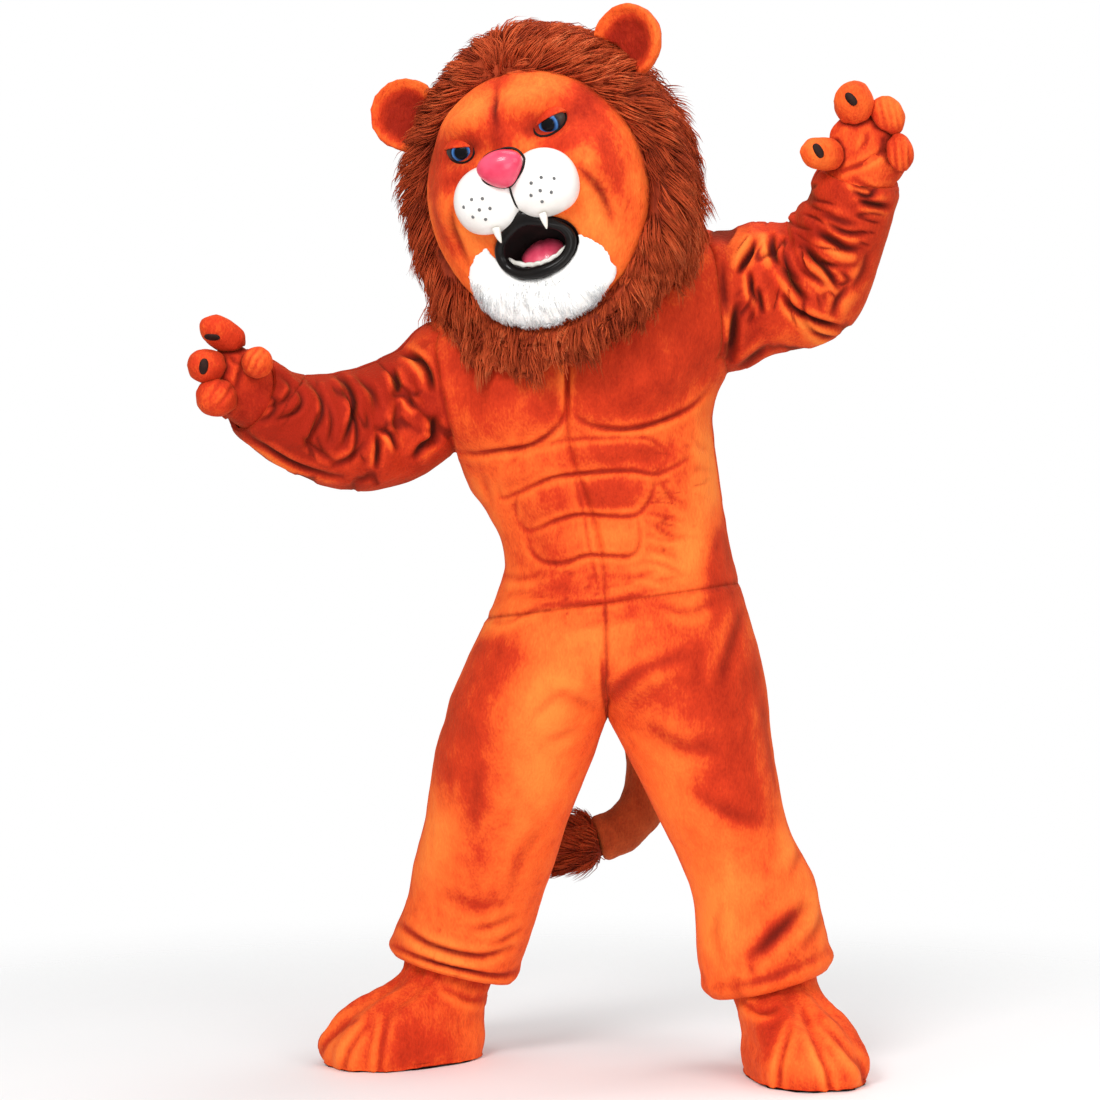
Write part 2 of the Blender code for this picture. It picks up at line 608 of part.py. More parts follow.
    def panel_object(self, name, faces, material, parent):
        used = sorted({v.index for f in faces for v in f.verts})
        order = {index: i for i, index in enumerate(used)}
        shifts = self.seam_shift(faces)
        still = Vector()
        outer = [self.outer[i] + shifts.get(i, still) for i in used]
        inner = [self.inner[i] + shifts.get(i, still) for i in used]
        count = len(used)
        chosen = set(faces)
        polygons = []
        for face in faces:
            ids = [order[v.index] for v in face.verts]
            for corner in split(ids):
                polygons.append(corner)
                polygons.append(tuple(count + i for i in reversed(corner)))
            for corner in face.loops:
                if sum(f in chosen for f in corner.edge.link_faces) == 1:
                    a, b = order[corner.vert.index], order[corner.link_loop_next.vert.index]
                    if a < b:       # both panels at a seam must split its wall the same way
                        polygons += [(b, a, count + b), (a, count + a, count + b)]
                    else:
                        polygons += [(b, a, count + a), (b, count + a, count + b)]
        return add_object(name, outer + inner, polygons, material, parent)

    def whole(self):
        # The outer surface with its openings capped, for what is cut to lie against it
        copy = self.mesh.copy()
        copy.verts.ensure_lookup_table()
        for vert, point in zip(copy.verts, self.outer):
            vert.co = point
        bmesh.ops.holes_fill(copy, edges=[e for e in copy.edges if e.is_boundary], sides=0)
        copy.verts.index_update()
        points = [v.co.copy() for v in copy.verts]
        polygons = [corner for f in copy.faces for corner in split([v.index for v in f.verts])]
        copy.free()
        return points, polygons


def sweep(path, radii, sides, up=Vector((0, 0, 1)), flat=1.0):
    # Rings round a path: each faces along it; flat squeezes them towards the up direction
    path = [Vector(p) for p in path]
    rings = []
    for i, centre in enumerate(path):
        ahead = (path[min(i + 1, len(path) - 1)] - path[max(i - 1, 0)]).normalized()
        side = ahead.cross(up).normalized()
        rise = side.cross(ahead)
        for k in range(sides):
            turn = 2 * math.pi * k / sides
            rings.append(centre + side * radii[i] * math.cos(turn) + rise * radii[i] * flat * math.sin(turn))
    return rings


def stuffed_form(path, radius, rows, sides, up=Vector((0, 0, 1)), ends=(1, 1)):
    # A stuffed tube with round ends: points and polygons. ends says how round each end is.
    line = even([tuple(p) for p in path], rows)
    reach = np.linspace(0, 1, rows + 1)
    length = float(np.linalg.norm(np.diff(line, axis=0), axis=1).sum())
    if np.isscalar(radius):
        radii = np.full(rows + 1, float(radius))
    else:
        radii = np.interp(reach, np.linspace(0, 1, len(radius)), radius)
    for r in range(rows + 1):
        for end, away in ((0, reach[r] * length), (1, (1 - reach[r]) * length)):
            if ends[end] and away < radii[r]:
                radii[r] *= math.sqrt(max(1 - (1 - away / radii[r]) ** 2, 0.12))
    points = sweep(line, radii, sides, up)
    return points, facing_out(points, tube_polygons(rows + 1, sides, True, True))


def add_stuffed(name, path, radius, rows, sides, material, parent, up=Vector((0, 0, 1))):
    points, polygons = stuffed_form(path, radius, rows, sides, up)
    return add_object(name, points, polygons, material, parent), points, polygons


def ball(centre, radii, rotation=(0, 0, 0), columns=12, rows=8, warp=None):
    # An egg-shaped body: points and polygons, with its poles along Z
    turn = Euler([math.radians(a) for a in rotation]).to_matrix()
    points = []
    for r in range(1, rows):
        lift = math.pi * r / rows
        for k in range(columns):
            around = 2 * math.pi * k / columns
            p = Vector((math.sin(lift) * math.cos(around), math.sin(lift) * math.sin(around), -math.cos(lift)))
            points.append(p)
    points += [Vector((0, 0, -1)), Vector((0, 0, 1))]
    if warp:
        points = [warp(p) for p in points]
    points = [Vector(centre) + turn @ Vector([p[i] * radii[i] for i in range(3)]) for p in points]
    polygons = tube_polygons(rows - 1, columns)
    low, high = len(points) - 2, len(points) - 1
    last = (rows - 2) * columns
    for k in range(columns):
        n = (k + 1) % columns
        polygons.append((low, n, k))
        polygons.append((high, last + k, last + n))
    return points, facing_out(points, polygons)


def thicken(obj, thickness):
    modifier = obj.modifiers.new("wall", "SOLIDIFY")
    modifier.thickness = thickness
    modifier.offset = -1
    modifier.use_even_offset = True
    modifier.use_rim = True


def tree_of(points, polygons):
    return BVHTree.FromPolygons([tuple(p) for p in points], polygons)


# Digits of a mitt: where each leaves the palm, where its tip lies, its thickness, and for those that
# show a dark pad, which way it faces and how it slants in the front view
Digit = namedtuple("Digit", "name base tip radius pad slant", defaults=(None, 0))
LEFT_DIGITS = [
    Digit("thumb", (0.505, -0.178, 1.628), (0.436, -0.228, 1.630), 0.028, (0.30, -0.95, 0.00), -60),
    Digit("index", (0.531, -0.178, 1.688), (0.519, -0.240, 1.741), 0.034, (-0.25, -0.85, -0.45), -45),
    Digit("middle", (0.562, -0.172, 1.680), (0.598, -0.226, 1.712), 0.030),
    Digit("ring", (0.568, -0.168, 1.642), (0.617, -0.218, 1.640), 0.029),
]
RIGHT_DIGITS = [
    Digit("thumb", (-0.500, -0.255, 1.264), (-0.492, -0.322, 1.262), 0.026),
    Digit("index", (-0.526, -0.250, 1.292), (-0.587, -0.300, 1.330), 0.027, (0.05, -0.80, -0.60), 5),
    Digit("middle", (-0.560, -0.258, 1.255), (-0.600, -0.326, 1.258), 0.029, (0.35, -0.90, -0.15), 85),
    Digit("ring", (-0.556, -0.256, 1.218), (-0.580, -0.320, 1.196), 0.029),
]
# Rings of a mitt beyond the sleeve: the palm and the end that the fingers are sewn to
LEFT_PALM = [
    Ring(0.554, -0.158, 1.617, 0.073, 0.052, 82.0, 20.0),
    Ring(0.550, -0.168, 1.642, 0.070, 0.047, 84.0, 16.0),
    Ring(0.548, -0.175, 1.668, 0.064, 0.042, 86.0, 12.0),
    Ring(0.550, -0.180, 1.692, 0.050, 0.032, 86.0, 10.0),
    Ring(0.552, -0.183, 1.704, 0.022, 0.015, 86.0, 10.0),
]
RIGHT_PALM = [
    Ring(-0.524, -0.222, 1.221, 0.063, 0.054, -24.0, 38.0),
    Ring(-0.542, -0.240, 1.235, 0.065, 0.048, -22.0, 42.0),
    Ring(-0.558, -0.256, 1.243, 0.060, 0.044, -20.0, 44.0),
    Ring(-0.572, -0.270, 1.247, 0.044, 0.032, -20.0, 46.0),
    Ring(-0.579, -0.276, 1.248, 0.018, 0.014, -20.0, 46.0),
]
MITT_TURN = 12
CUFF_INSET = 0.0019     # cuff inside the sleeve's lining, clear of both polygons' corners
PAD_SIZE = (0.0145, 0.0080, 0.005)


def make_mitt(side, sleeve, palm, digits, plush, dark, parent):
    name = "left" if side > 0 else "right"
    ends = even(sleeve, SLEEVE_ROWS)[[-3, -2, -1]]
    cuff = []
    for row in ends:
        ring = Ring(*row)
        cuff.append(ring._replace(half_height=ring.half_height - PLUSH - CUFF_INSET,
                                  half_depth=ring.half_depth - PLUSH - CUFF_INSET))
    rings = cuff + palm
    points = [sleeve_point(ring, side, 360 * k / MITT_TURN) for ring in rings for k in range(MITT_TURN)]
    polygons = facing_out(points, tube_polygons(len(rings), MITT_TURN, True, True))
    opened = [face for face in polygons if set(face) != set(range(MITT_TURN))]
    mitt = add_object(f"mitt_{name}", points, opened, plush, parent)
    thicken(mitt, 0.005)
    cutters = [swollen(f"mitt_{name}_form", points, polygons, parent)]
    for digit in digits:
        part = f"digit_{name}_{digit.name}"
        obj, form, faces = add_stuffed(part, (digit.base, digit.tip), digit.radius,
                                       5, 8, plush, parent, up=Vector((0.2, 1, 0.3)))
        cut_clear(obj, *cutters)
        cutters.append(swollen(part + "_form", form, faces, parent))
        if digit.pad:
            add_claw_pad(f"claw_{name}_{digit.name}", digit, tree_of(form, faces), dark, parent)


def add_claw_pad(name, digit, tree, material, parent):
    # A small dark dome sewn to a digit, flat beneath
    middle = Vector(digit.tip).lerp(Vector(digit.base), 0.25)
    outward = Vector(digit.pad).normalized()
    spot, normal, _, _ = tree.ray_cast(middle + outward * 0.1, -outward)
    slant = math.radians(digit.slant)
    along = Vector((math.cos(slant), 0, math.sin(slant)))
    across = normal.cross(along).normalized()
    along = across.cross(normal)
    points = []
    for share, lift in ((1.0, 0.0), (0.82, 0.6)):
        for k in range(8):
            turn = 2 * math.pi * k / 8
            points.append(spot + normal * (GAP + 0.0004 + PAD_SIZE[2] * lift)
                          + along * PAD_SIZE[0] * share * math.cos(turn)
                          + across * PAD_SIZE[1] * share * math.sin(turn))
    points.append(spot + normal * (GAP + 0.0004 + PAD_SIZE[2]))
    polygons = tube_polygons(2, 8, cap_start=True)
    polygons += [(16, 8 + k, 8 + (k + 1) % 8) for k in range(8)]
    return add_object(name, points, facing_out(points, polygons), material, parent)


# Paw boots: four toes share the front of the outline, and the shaft goes up inside the trouser leg
TOE_SPREAD = 36        # degrees that one toe takes
BOOT_COLUMNS = [TOE_SPREAD / 4 * k for k in range(-8, 9)] + [72 + 24 * k for k in range(1, 9)]
BootRow = namedtuple("BootRow", "height share toe flare")
BOOT_ROWS = [
    BootRow(0.238, 0.00, 0.0, 1.0), BootRow(0.172, 0.03, 0.0, 0.0), BootRow(0.136, 0.26, 0.4, 0.0),
    BootRow(0.118, 0.54, 0.9, 0.0), BootRow(0.094, 0.80, 1.0, 0.0), BootRow(0.062, 0.98, 1.0, 0.0),
    BootRow(0.030, 1.03, 1.0, 0.0), BootRow(0.0118, 0.985, 0.8, 0.0),
]
SHAFT = 0.078
SHAFT_EASE = 0.0009
FOOT = dict(ahead=0.085, length=0.165, width=0.106, heel=0.155)
SOLE_THICK = 0.0105
BootPlace = namedtuple("BootPlace", "x y heading leg")
BOOTS = {"left": BootPlace(0.432, 0.078, 12.0, LEFT_LEG), "right": BootPlace(-0.190, 0.200, -56.0, RIGHT_LEG)}


def boot_outline(degrees, toe):
    # A paw's outline seen from above, broad at the toes: the point, and how far it is out on a toe
    turn = math.radians(degrees)
    ahead, aside = math.cos(turn), math.sin(turn)
    width = FOOT["width"] * (1 if ahead > 0 else 1 + 0.12 * ahead)
    length = FOOT["length"] if ahead > 0 else FOOT["heel"]
    lobes = 0.0
    if abs((degrees + 180) % 360 - 180) < 2 * TOE_SPREAD:
        lobes = 0.5 - 0.5 * math.cos(math.radians(360 * degrees / TOE_SPREAD))
    swell = 1 + 0.075 * toe * (math.sqrt(lobes) - 0.5) if lobes else 1 - 0.0375 * toe
    x = width * math.copysign(abs(aside) ** 0.82, aside) * swell
    y = -FOOT["ahead"] - length * math.copysign(abs(ahead) ** 0.9, ahead) * swell
    return x, y, lobes


def boot_points(place, lining):
    # The boot's shell in its own frame. The shaft's rings are centred on the trouser leg above, and its
    # flared top lies against that leg's inside.
    points = []
    unturn = Matrix.Rotation(-math.radians(place.heading), 3, "Z")
    for row in BOOT_ROWS:
        leg = LegRing(*at_height(place.leg, max(row.height, 0.165)))
        lean = unturn @ Vector((leg.x - place.x, leg.y - place.y, 0))
        for degrees in BOOT_COLUMNS:
            turn = math.radians(degrees)
            x, y, lobes = boot_outline(degrees, row.toe)
            radius = SHAFT
            if row.flare:
                away = unturn.inverted() @ Vector((math.sin(turn), -math.cos(turn), 0))
                room = lining.ray_cast(Vector((leg.x, leg.y, row.height)), away)[3]
                radius = SHAFT + (room - SHAFT_EASE - SHAFT) * row.flare
            shaft = (lean.x + radius * math.sin(turn), lean.y - radius * math.cos(turn))
            front = max(math.cos(turn), 0.0)
            rise = 0.020 * front * (lobes - 0.4) * math.sin(math.pi * row.share) if 0.2 < row.share < 0.99 else 0.0
            points.append(Vector((shaft[0] + (x - shaft[0]) * row.share,
                                  shaft[1] + (y - shaft[1]) * row.share, row.height + rise)))
    return points


def make_boot(side, lining, plush, rubber, parent):
    place = BOOTS[side]
    empty = add_empty(f"boot_place_{side}", (place.x, place.y, 0), (0, 0, math.radians(place.heading)), parent)
    turn = len(BOOT_COLUMNS)
    points = boot_points(place, lining)
    polygons = facing_out(points, tube_polygons(len(BOOT_ROWS), turn, True, True))
    opened = [face for face in polygons if len(face) == 3]
    boot = add_object(f"boot_{side}", points, opened, plush, empty)
    thicken(boot, PLUSH)
    outline = [boot_outline(degrees, 0.6) for degrees in BOOT_COLUMNS]
    centre = -FOOT["ahead"]
    sole = [Vector((x * 0.985, centre + (y - centre) * 0.985, height))
            for height in (0.0, SOLE_THICK) for x, y, _ in outline]
    add_object(f"sole_{side}", sole, facing_out(sole, tube_polygons(2, turn, True, True)), rubber, empty,
               smooth=False)
    placed = Matrix.Translation((place.x, place.y, 0)) @ Matrix.Rotation(math.radians(place.heading), 4, "Z")
    return [placed @ p for p in points], polygons


# Tail: a stuffed tube that leaves the seat, hangs and curls to the wearer's right, with a long-pile tuft
TAIL_PATH = [(0.112, 0.165, 0.790), (0.120, 0.235, 0.765), (0.145, 0.290, 0.690), (0.180, 0.318, 0.600),
             (0.192, 0.325, 0.520), (0.176, 0.322, 0.450), (0.136, 0.314, 0.408), (0.092, 0.306, 0.393)]
TAIL_RADII = (0.052, 0.050, 0.047, 0.045, 0.045, 0.045, 0.045, 0.045)
TAIL_ROWS, TAIL_SIDES = 11, 10
TUFT_PATH = [(0, 0, 0), (-0.035, -0.004, -0.004), (-0.072, -0.009, -0.009), (-0.105, -0.014, -0.014)]
TUFT_RADII = (0.044, 0.052, 0.052, 0.028)
TUFT_SIDES = 12


def make_tail(suit_form, plush, fur, parent):
    line = even(TAIL_PATH, TAIL_ROWS)
    radii = np.interp(np.linspace(0, 1, TAIL_ROWS + 1), np.linspace(0, 1, len(TAIL_RADII)), TAIL_RADII)
    up = Vector((0.35, 0.9, 0.2))
    points = sweep(line, radii, TAIL_SIDES, up)
    polygons = facing_out(points, tube_polygons(TAIL_ROWS + 1, TAIL_SIDES, True, True))
    tail = add_object("tail", points, polygons, plush, parent)
    cut_clear(tail, suit_form)
    end = Vector(line[-1])
    onward = (end - Vector(line[-2])).normalized()
    rows = even([end + onward * 0.0005] + [end + onward * 0.0005 + Vector(p) for p in TUFT_PATH[1:]], 6)
    rows[1] = end + onward * 0.018
    widths = np.interp(np.linspace(0, 1, 7), np.linspace(0, 1, len(TUFT_RADII)), TUFT_RADII)
    tuft = sweep(rows, widths, TUFT_SIDES, up)
    for r in range(1, 7):
        for k in range(TUFT_SIDES):
            i = r * TUFT_SIDES + k
            lock = (1 if k % 2 else -1) * r / 6
            tuft[i] = tuft[i] + (tuft[i] - Vector(rows[r])) * 0.14 * lock + Vector((-0.016, 0, -0.012)) * max(lock, 0)
    polygons = facing_out(tuft, tube_polygons(7, TUFT_SIDES, True, True))
    add_object("tail_tuft", tuft, polygons, fur, parent)


def hood_point(turn, top, side, bottom):
    # One point of a shell round the face: turn 90 is the crown, 0 the wearer's left, -90 the chin
    t = (1 + math.sin(turn)) / 2
    middle = [2 * s - 0.5 * (a + b) for s, a, b in zip(side, top, bottom)]
    mixed = [(1 - t) ** 2 * b + 2 * t * (1 - t) * m + t * t * a for a, m, b in zip(top, middle, bottom)]
    return Vector((side[0] * math.cos(turn), mixed[1], mixed[2]))


def hood_grid(top, side, bottom, rows):
    profiles = [spline(p, np.linspace(0, len(p) - 1, rows + 1)) for p in (top, side, bottom)]
    grid = []
    for r in range(rows + 1):
        for k in range(HEAD_COLUMNS):
            turn = 2 * math.pi * k / HEAD_COLUMNS
            grid.append(hood_point(turn, *(p[r] for p in profiles)))
    return grid


def face_rise(point):
    total = 0.0
    for form in FACE_FORMS:
        lean = math.radians(form.lean)
        x, z = abs(point.x) - form.x, point.z - form.z
        along = x * math.cos(lean) + z * math.sin(lean)
        over = -x * math.sin(lean) + z * math.cos(lean)
        total += form.rise * math.exp(-(along / form.reach_x) ** 2 - (over / form.reach_z) ** 2)
    return total


def shell_object(name, outer, inner, turn, material, parent):
    # A wall between two grids of rings that are open at both ends
    rows = len(outer) // turn
    count = len(outer)
    polygons = tube_polygons(rows, turn)
    polygons += [tuple(count + i for i in reversed(face)) for face in tube_polygons(rows, turn)]
    for k in range(turn):
        n = (k + 1) % turn
        polygons.append((n, k, count + k, count + n))
        last = (rows - 1) * turn
        polygons.append((last + k, last + n, count + last + n, count + last + k))
    points = list(outer) + list(inner)
    return add_object(name, points, facing_out(points, polygons), material, parent)


def make_head(suit_points, suit_polygons, materials, costume):
    rotation = (Matrix.Rotation(-math.radians(HEAD_TURN["roll"]), 4, "Y")
                @ Matrix.Rotation(-math.radians(HEAD_TURN["yaw"]), 4, "Z")
                @ Matrix.Rotation(math.radians(HEAD_TURN["pitch"]), 4, "X"))
    head = add_empty("head", HEAD_AT, rotation.to_euler(), costume)
    world = Matrix.Translation(HEAD_AT) @ rotation
    body = tree_of([world.inverted() @ Vector(p) for p in suit_points], suit_polygons)
    face_tree, face_form, face_grid = make_face(materials, head)
    mane_form = make_mane(body, materials, head)
    cut_clear(chin_pad(*face_grid, materials["white_plush"], head), mane_form)
    make_ears(mane_form, materials, head)
    make_muzzle(face_tree, face_form, materials, head)
    make_eyes(face_tree, face_form, materials, head)


def make_face(materials, head):
    turn = HEAD_COLUMNS
    base = hood_grid(FACE_TOP, FACE_SIDE, FACE_BOTTOM, FACE_ROWS)
    quads = tube_polygons(FACE_ROWS + 1, turn)
    found = normals_of(base, quads)
    if found[turn * 4 + turn // 4].y > 0:
        found = [-n for n in found]
    outer = [p + n * face_rise(p) * smooth_step((i // turn - 0.5) / 2) for i, (p, n) in enumerate(zip(base, found))]
    inner = [p - n * SHELL for p, n in zip(base, found)]
    shell_object("face", outer, inner, turn, materials["plush"], head)
    points = outer + [Vector((0, 0.02, -0.01)), Vector((0, -0.17, -0.084))]
    closed = list(quads)
    last = FACE_ROWS * turn
    for k in range(turn):
        n = (k + 1) % turn
        closed.append((n, k, len(outer)))
        closed.append((last + k, last + n, len(outer) + 1))
    closed = facing_out(points, closed)
    return tree_of(points, closed), swollen("face_form", points, closed, head), (outer, found)


CHIN_COLUMNS = (14, 21)       # columns of the face that the white chin covers
CHIN_ROWS = (2, 7)
CHIN_RISE = 0.024


def chin_pad(outer, found, material, head):
    # White chin: made from the face's own points, moved out, so it lies on the face
    low, high = CHIN_COLUMNS
    columns = [k % HEAD_COLUMNS for k in range(low, high + 1)]
    rows = list(range(CHIN_ROWS[0], CHIN_ROWS[1] + 1))
    wide, tall = len(columns), len(rows)
    under, over = [], []
    for j, r in enumerate(rows):
        for i, k in enumerate(columns):
            p, n = outer[r * HEAD_COLUMNS + k], found[r * HEAD_COLUMNS + k]
            crown = pillow(i, -0.6, wide - 0.4) * pillow(j, -0.6, tall - 0.4)
            under.append(p + n * GAP * 2)
            over.append(p + n * (GAP * 2 + 0.004 + CHIN_RISE * crown))
    count = wide * tall
    polygons = []
    for j in range(tall - 1):
        for i in range(wide - 1):
            a = j * wide + i
            for b, c in ((a + 1, a + wide + 1), (a + wide + 1, a + wide)):
                polygons.append((a, b, c))
                polygons.append((count + c, count + b, count + a))
    rim = ([i for i in range(wide)] + [j * wide + wide - 1 for j in range(1, tall)]
           + [(tall - 1) * wide + i for i in range(wide - 2, -1, -1)] + [j * wide for j in range(tall - 2, 0, -1)])
    for a, b in zip(rim, rim[1:] + rim[:1]):
        polygons.append((b, a, count + a, count + b))
    points = over + under
    return add_object("chin", points, facing_out(points, polygons), material, head)


def hood_panel(name, outer, inner, rows, columns, material, parent):
    # One cut piece of the hood, between two rings and two columns of its grid, a little clear of the next piece
    turn = HEAD_COLUMNS
    last = len(outer) // turn - 1
    over, under = [], []
    for r in range(rows[0], rows[1] + 1):
        for k in range(columns[0], columns[1] + 1):
            i = r * turn + k % turn
            shift = Vector()
            if k in columns:
                along = (outer[r * turn + (k + 1) % turn] - outer[r * turn + (k - 1) % turn]).normalized()
                shift += along * (SEAM_HALF if k == columns[0] else -SEAM_HALF)
            if r in rows and 0 < r < last:
                along = (outer[i + turn] - outer[i - turn]).normalized()
                shift += along * (SEAM_HALF if r == rows[0] else -SEAM_HALF)
            over.append(outer[i] + shift)
            under.append(inner[i] + shift)
    wide, tall = columns[1] - columns[0] + 1, rows[1] - rows[0] + 1
    count = wide * tall
    polygons = []
    for r in range(tall - 1):
        for k in range(wide - 1):
            a, b = r * wide + k, r * wide + k + 1
            for face in ((a, b, b + wide), (a, b + wide, a + wide)):
                polygons.append(face)
                polygons.append(tuple(count + i for i in reversed(face)))
    for r in range(tall - 1):
        for a, b, way in ((r * wide, r * wide + wide, 1), (r * wide + wide - 1, r * wide + 2 * wide - 1, -1)):
            for face in ((a, b, count + b), (a, count + b, count + a)):
                polygons.append(face[::way])
    for k in range(wide - 1):
        for a, b, way in ((k, k + 1, -1), (count - wide + k, count - wide + k + 1, 1)):
            for face in ((a, b, count + b), (a, count + b, count + a)):
                polygons.append(face[::way])
    points = over + under
    return add_object(name, points, facing_out(points, polygons), material, parent)


def make_mane(body, materials, head):
    turn = HEAD_COLUMNS
    base = hood_grid(MANE_TOP, MANE_SIDE, MANE_BOTTOM, MANE_ROWS)
    quads = tube_polygons(MANE_ROWS + 1, turn)
    found = normals_of(base, quads)
    if found[turn * 3 + turn // 4].z < 0:
        found = [-n for n in found]
    outer, inner = [], []
    for i, (p, n) in enumerate(zip(base, found)):
        row, k = divmod(i, turn)
        share = row / MANE_ROWS
        lock = 1 if k % 2 else -1
        back = Vector((0, 0.016, 0)) if row == 0 else -n * MANE_WALL
        hang = Vector((MANE_SWAY * smooth_step((share - 0.2) / 0.8), 0,
                       -LOCK_HANG * max(lock, 0) * smooth_step((share - 0.8) / 0.2)))
        inner.append(p + back + hang)
        outer.append(p + n * LOCK_RISE * lock * min(share * 2, 1) + hang)
    moved = settle(body, inner, quads, MANE_GAP, lambda i: i >= 2 * turn)
    outer = [p + m for p, m in zip(outer, moved)]
    settle(body, outer, quads, MANE_GAP + 0.014, lambda i: i >= 2 * turn)
    crown, chin = turn // 4, turn * 3 // 4
    for place, rows in (("front", (0, MANE_SEAM)), ("back", (MANE_SEAM, MANE_ROWS))):
        for side, columns in (("left", (chin - turn, crown)), ("right", (crown, chin))):
            hood_panel(f"mane_{place}_{side}", outer, inner, rows, columns, materials["fur"], head)
    points = outer + [Vector((0, -0.03, 0)), Vector((0, 0.03, -0.24))]
    closed = list(quads)
    last = MANE_ROWS * turn
    for k in range(turn):
        n = (k + 1) % turn
        closed.append((n, k, len(outer)))
        closed.append((last + k, last + n, len(outer) + 1))
    closed = facing_out(points, closed)
    return swollen("mane_form", points, closed, head)


def settle(tree, points, faces, gap, free):
    # Lifts the free points until the corners, edges and middles of all faces lie outside a body.
    # Changes the list of points and returns how far each one has moved.
    moved = [Vector() for _ in points]
    for _ in range(10):
        steps = {}
        for face in faces:
            samples = [(i,) for i in face] + list(zip(face, face[1:] + face[:1])) + [face]
            for ids in samples:
                middle = sum((points[i] for i in ids), Vector()) / len(ids)
                spot, normal, _, distance = tree.find_nearest(middle)
                lift = gap - (middle - spot).dot(normal)
                if distance < 0.12 and lift > 1e-5:
                    for i in ids:
                        if free(i) and lift > steps.get(i, Vector()).length:
                            steps[i] = normal * lift
        if not steps:
            break
        for i, step in steps.items():
            points[i] = points[i] + step
            moved[i] = moved[i] + step
    return moved


EAR = dict(x=0.214, y=-0.012, z=0.190, radius=0.067, lean=(-8, 12, -14))
# Rings of an ear from the hollow of its front over the rim to its back: share of the radius, and depth
EAR_PROFILE = [(0.22, -0.001), (0.52, -0.003), (0.80, -0.013), (0.95, -0.019), (1.00, -0.008),
               (0.93, 0.010), (0.64, 0.021), (0.28, 0.025)]


def make_ears(mane_form, materials, head):
    for side, name in ((1, "left"), (-1, "right")):
        turn = Euler([math.radians(a * s) for a, s in zip(EAR["lean"], (1, side, side))]).to_matrix()
        centre = Vector((side * EAR["x"], EAR["y"], EAR["z"]))
        points = []
        for share, depth in EAR_PROFILE:
            for k in range(12):
                around = 2 * math.pi * k / 12
                flat = Vector((math.cos(around), 0, math.sin(around))) * EAR["radius"] * share
                points.append(centre + turn @ (flat + Vector((0, depth, 0))))
        polygons = facing_out(points, tube_polygons(len(EAR_PROFILE), 12, True, True))
        ear = add_object(f"ear_{name}", points, polygons, materials["plush"], head)
        cut_clear(ear, mane_form)


MUZZLE = dict(x=0.052, z=0.004, sink=0.004, radii=(0.062, 0.047, 0.062))
NOSE = dict(z=0.049, sink=-0.036, radii=(0.048, 0.026, 0.033))
MOUTH_AT = Vector((0, -0.190, -0.095))
LIP_RADII = (0.0100, 0.0130)


def make_muzzle(tree, face_form, materials, head):
    lip_form = make_mouth(materials, head)
    lobe_forms = []
    for side, name in ((1, "left"), (-1, "right")):
        spot = surface_at(tree, side * MUZZLE["x"], MUZZLE["z"])
        centre = spot + Vector((0, MUZZLE["sink"], 0))
        points, polygons = ball(centre, MUZZLE["radii"], (0, side * 12, 0), 12, 8)
        points = [Vector((side * max(side * p.x, 0.0004), p.y, p.z)) for p in points]
        lobe = add_object(f"muzzle_{name}", points, polygons, materials["white_foam"], head)
        cut_clear(lobe, face_form, lip_form)
        lobe_forms.append(swollen(f"muzzle_{name}_form", points, polygons, head))
    spot = surface_at(tree, 0, NOSE["z"])
    points, polygons = ball(spot + Vector((0, NOSE["sink"], 0)), NOSE["radii"], (14, 0, 0), 12, 8, nose_form)
    nose = add_object("nose", points, polygons, materials["pink"], head)
    cut_clear(nose, face_form, *lobe_forms)
    for side, name in ((1, "left"), (-1, "right")):
        fang_path = [(side * 0.043, -0.2300, -0.040), (side * 0.043, -0.2308, -0.054), (side * 0.042, -0.2300, -0.068)]
        line = even(fang_path, 4)
        fang = sweep(line, (0.0085, 0.0080, 0.0066, 0.0044, 0.0012), 6, Vector((0, 1, 0)))
        made = add_object(f"fang_{name}", fang, facing_out(fang, tube_polygons(5, 6, True, True)),
                          materials["tooth"], head)
        cut_clear(made, face_form, lip_form, *lobe_forms)


def nose_form(p):
    # Broad above and narrow below, with a flat top
    spread = 0.62 + 0.38 * smooth_step((p.z + 0.9) / 1.5)
    return Vector((p.x * spread, p.y, p.z))


def surface_at(tree, x, z):
    spot, _, _, _ = tree.ray_cast(Vector((x, -0.5, z)), Vector((0, 1, 0)))
    return spot


def mouth_ring(shrink, back, squeeze=1.0):
    # A ring parallel to the mouth's edge, drawn in by shrink and set back
    points = []
    for k in range(HEAD_COLUMNS):
        turn = 2 * math.pi * k / HEAD_COLUMNS
        edge = hood_point(turn, FACE_TOP[-1], FACE_SIDE[-1], FACE_BOTTOM[-1])
        flat = Vector((edge.x - MOUTH_AT.x, 0, edge.z - MOUTH_AT.z))
        drawn = flat * squeeze * max(flat.length - shrink, 0.0) / flat.length
        points.append(Vector((drawn.x, edge.y + back, MOUTH_AT.z + drawn.z)))
    return points


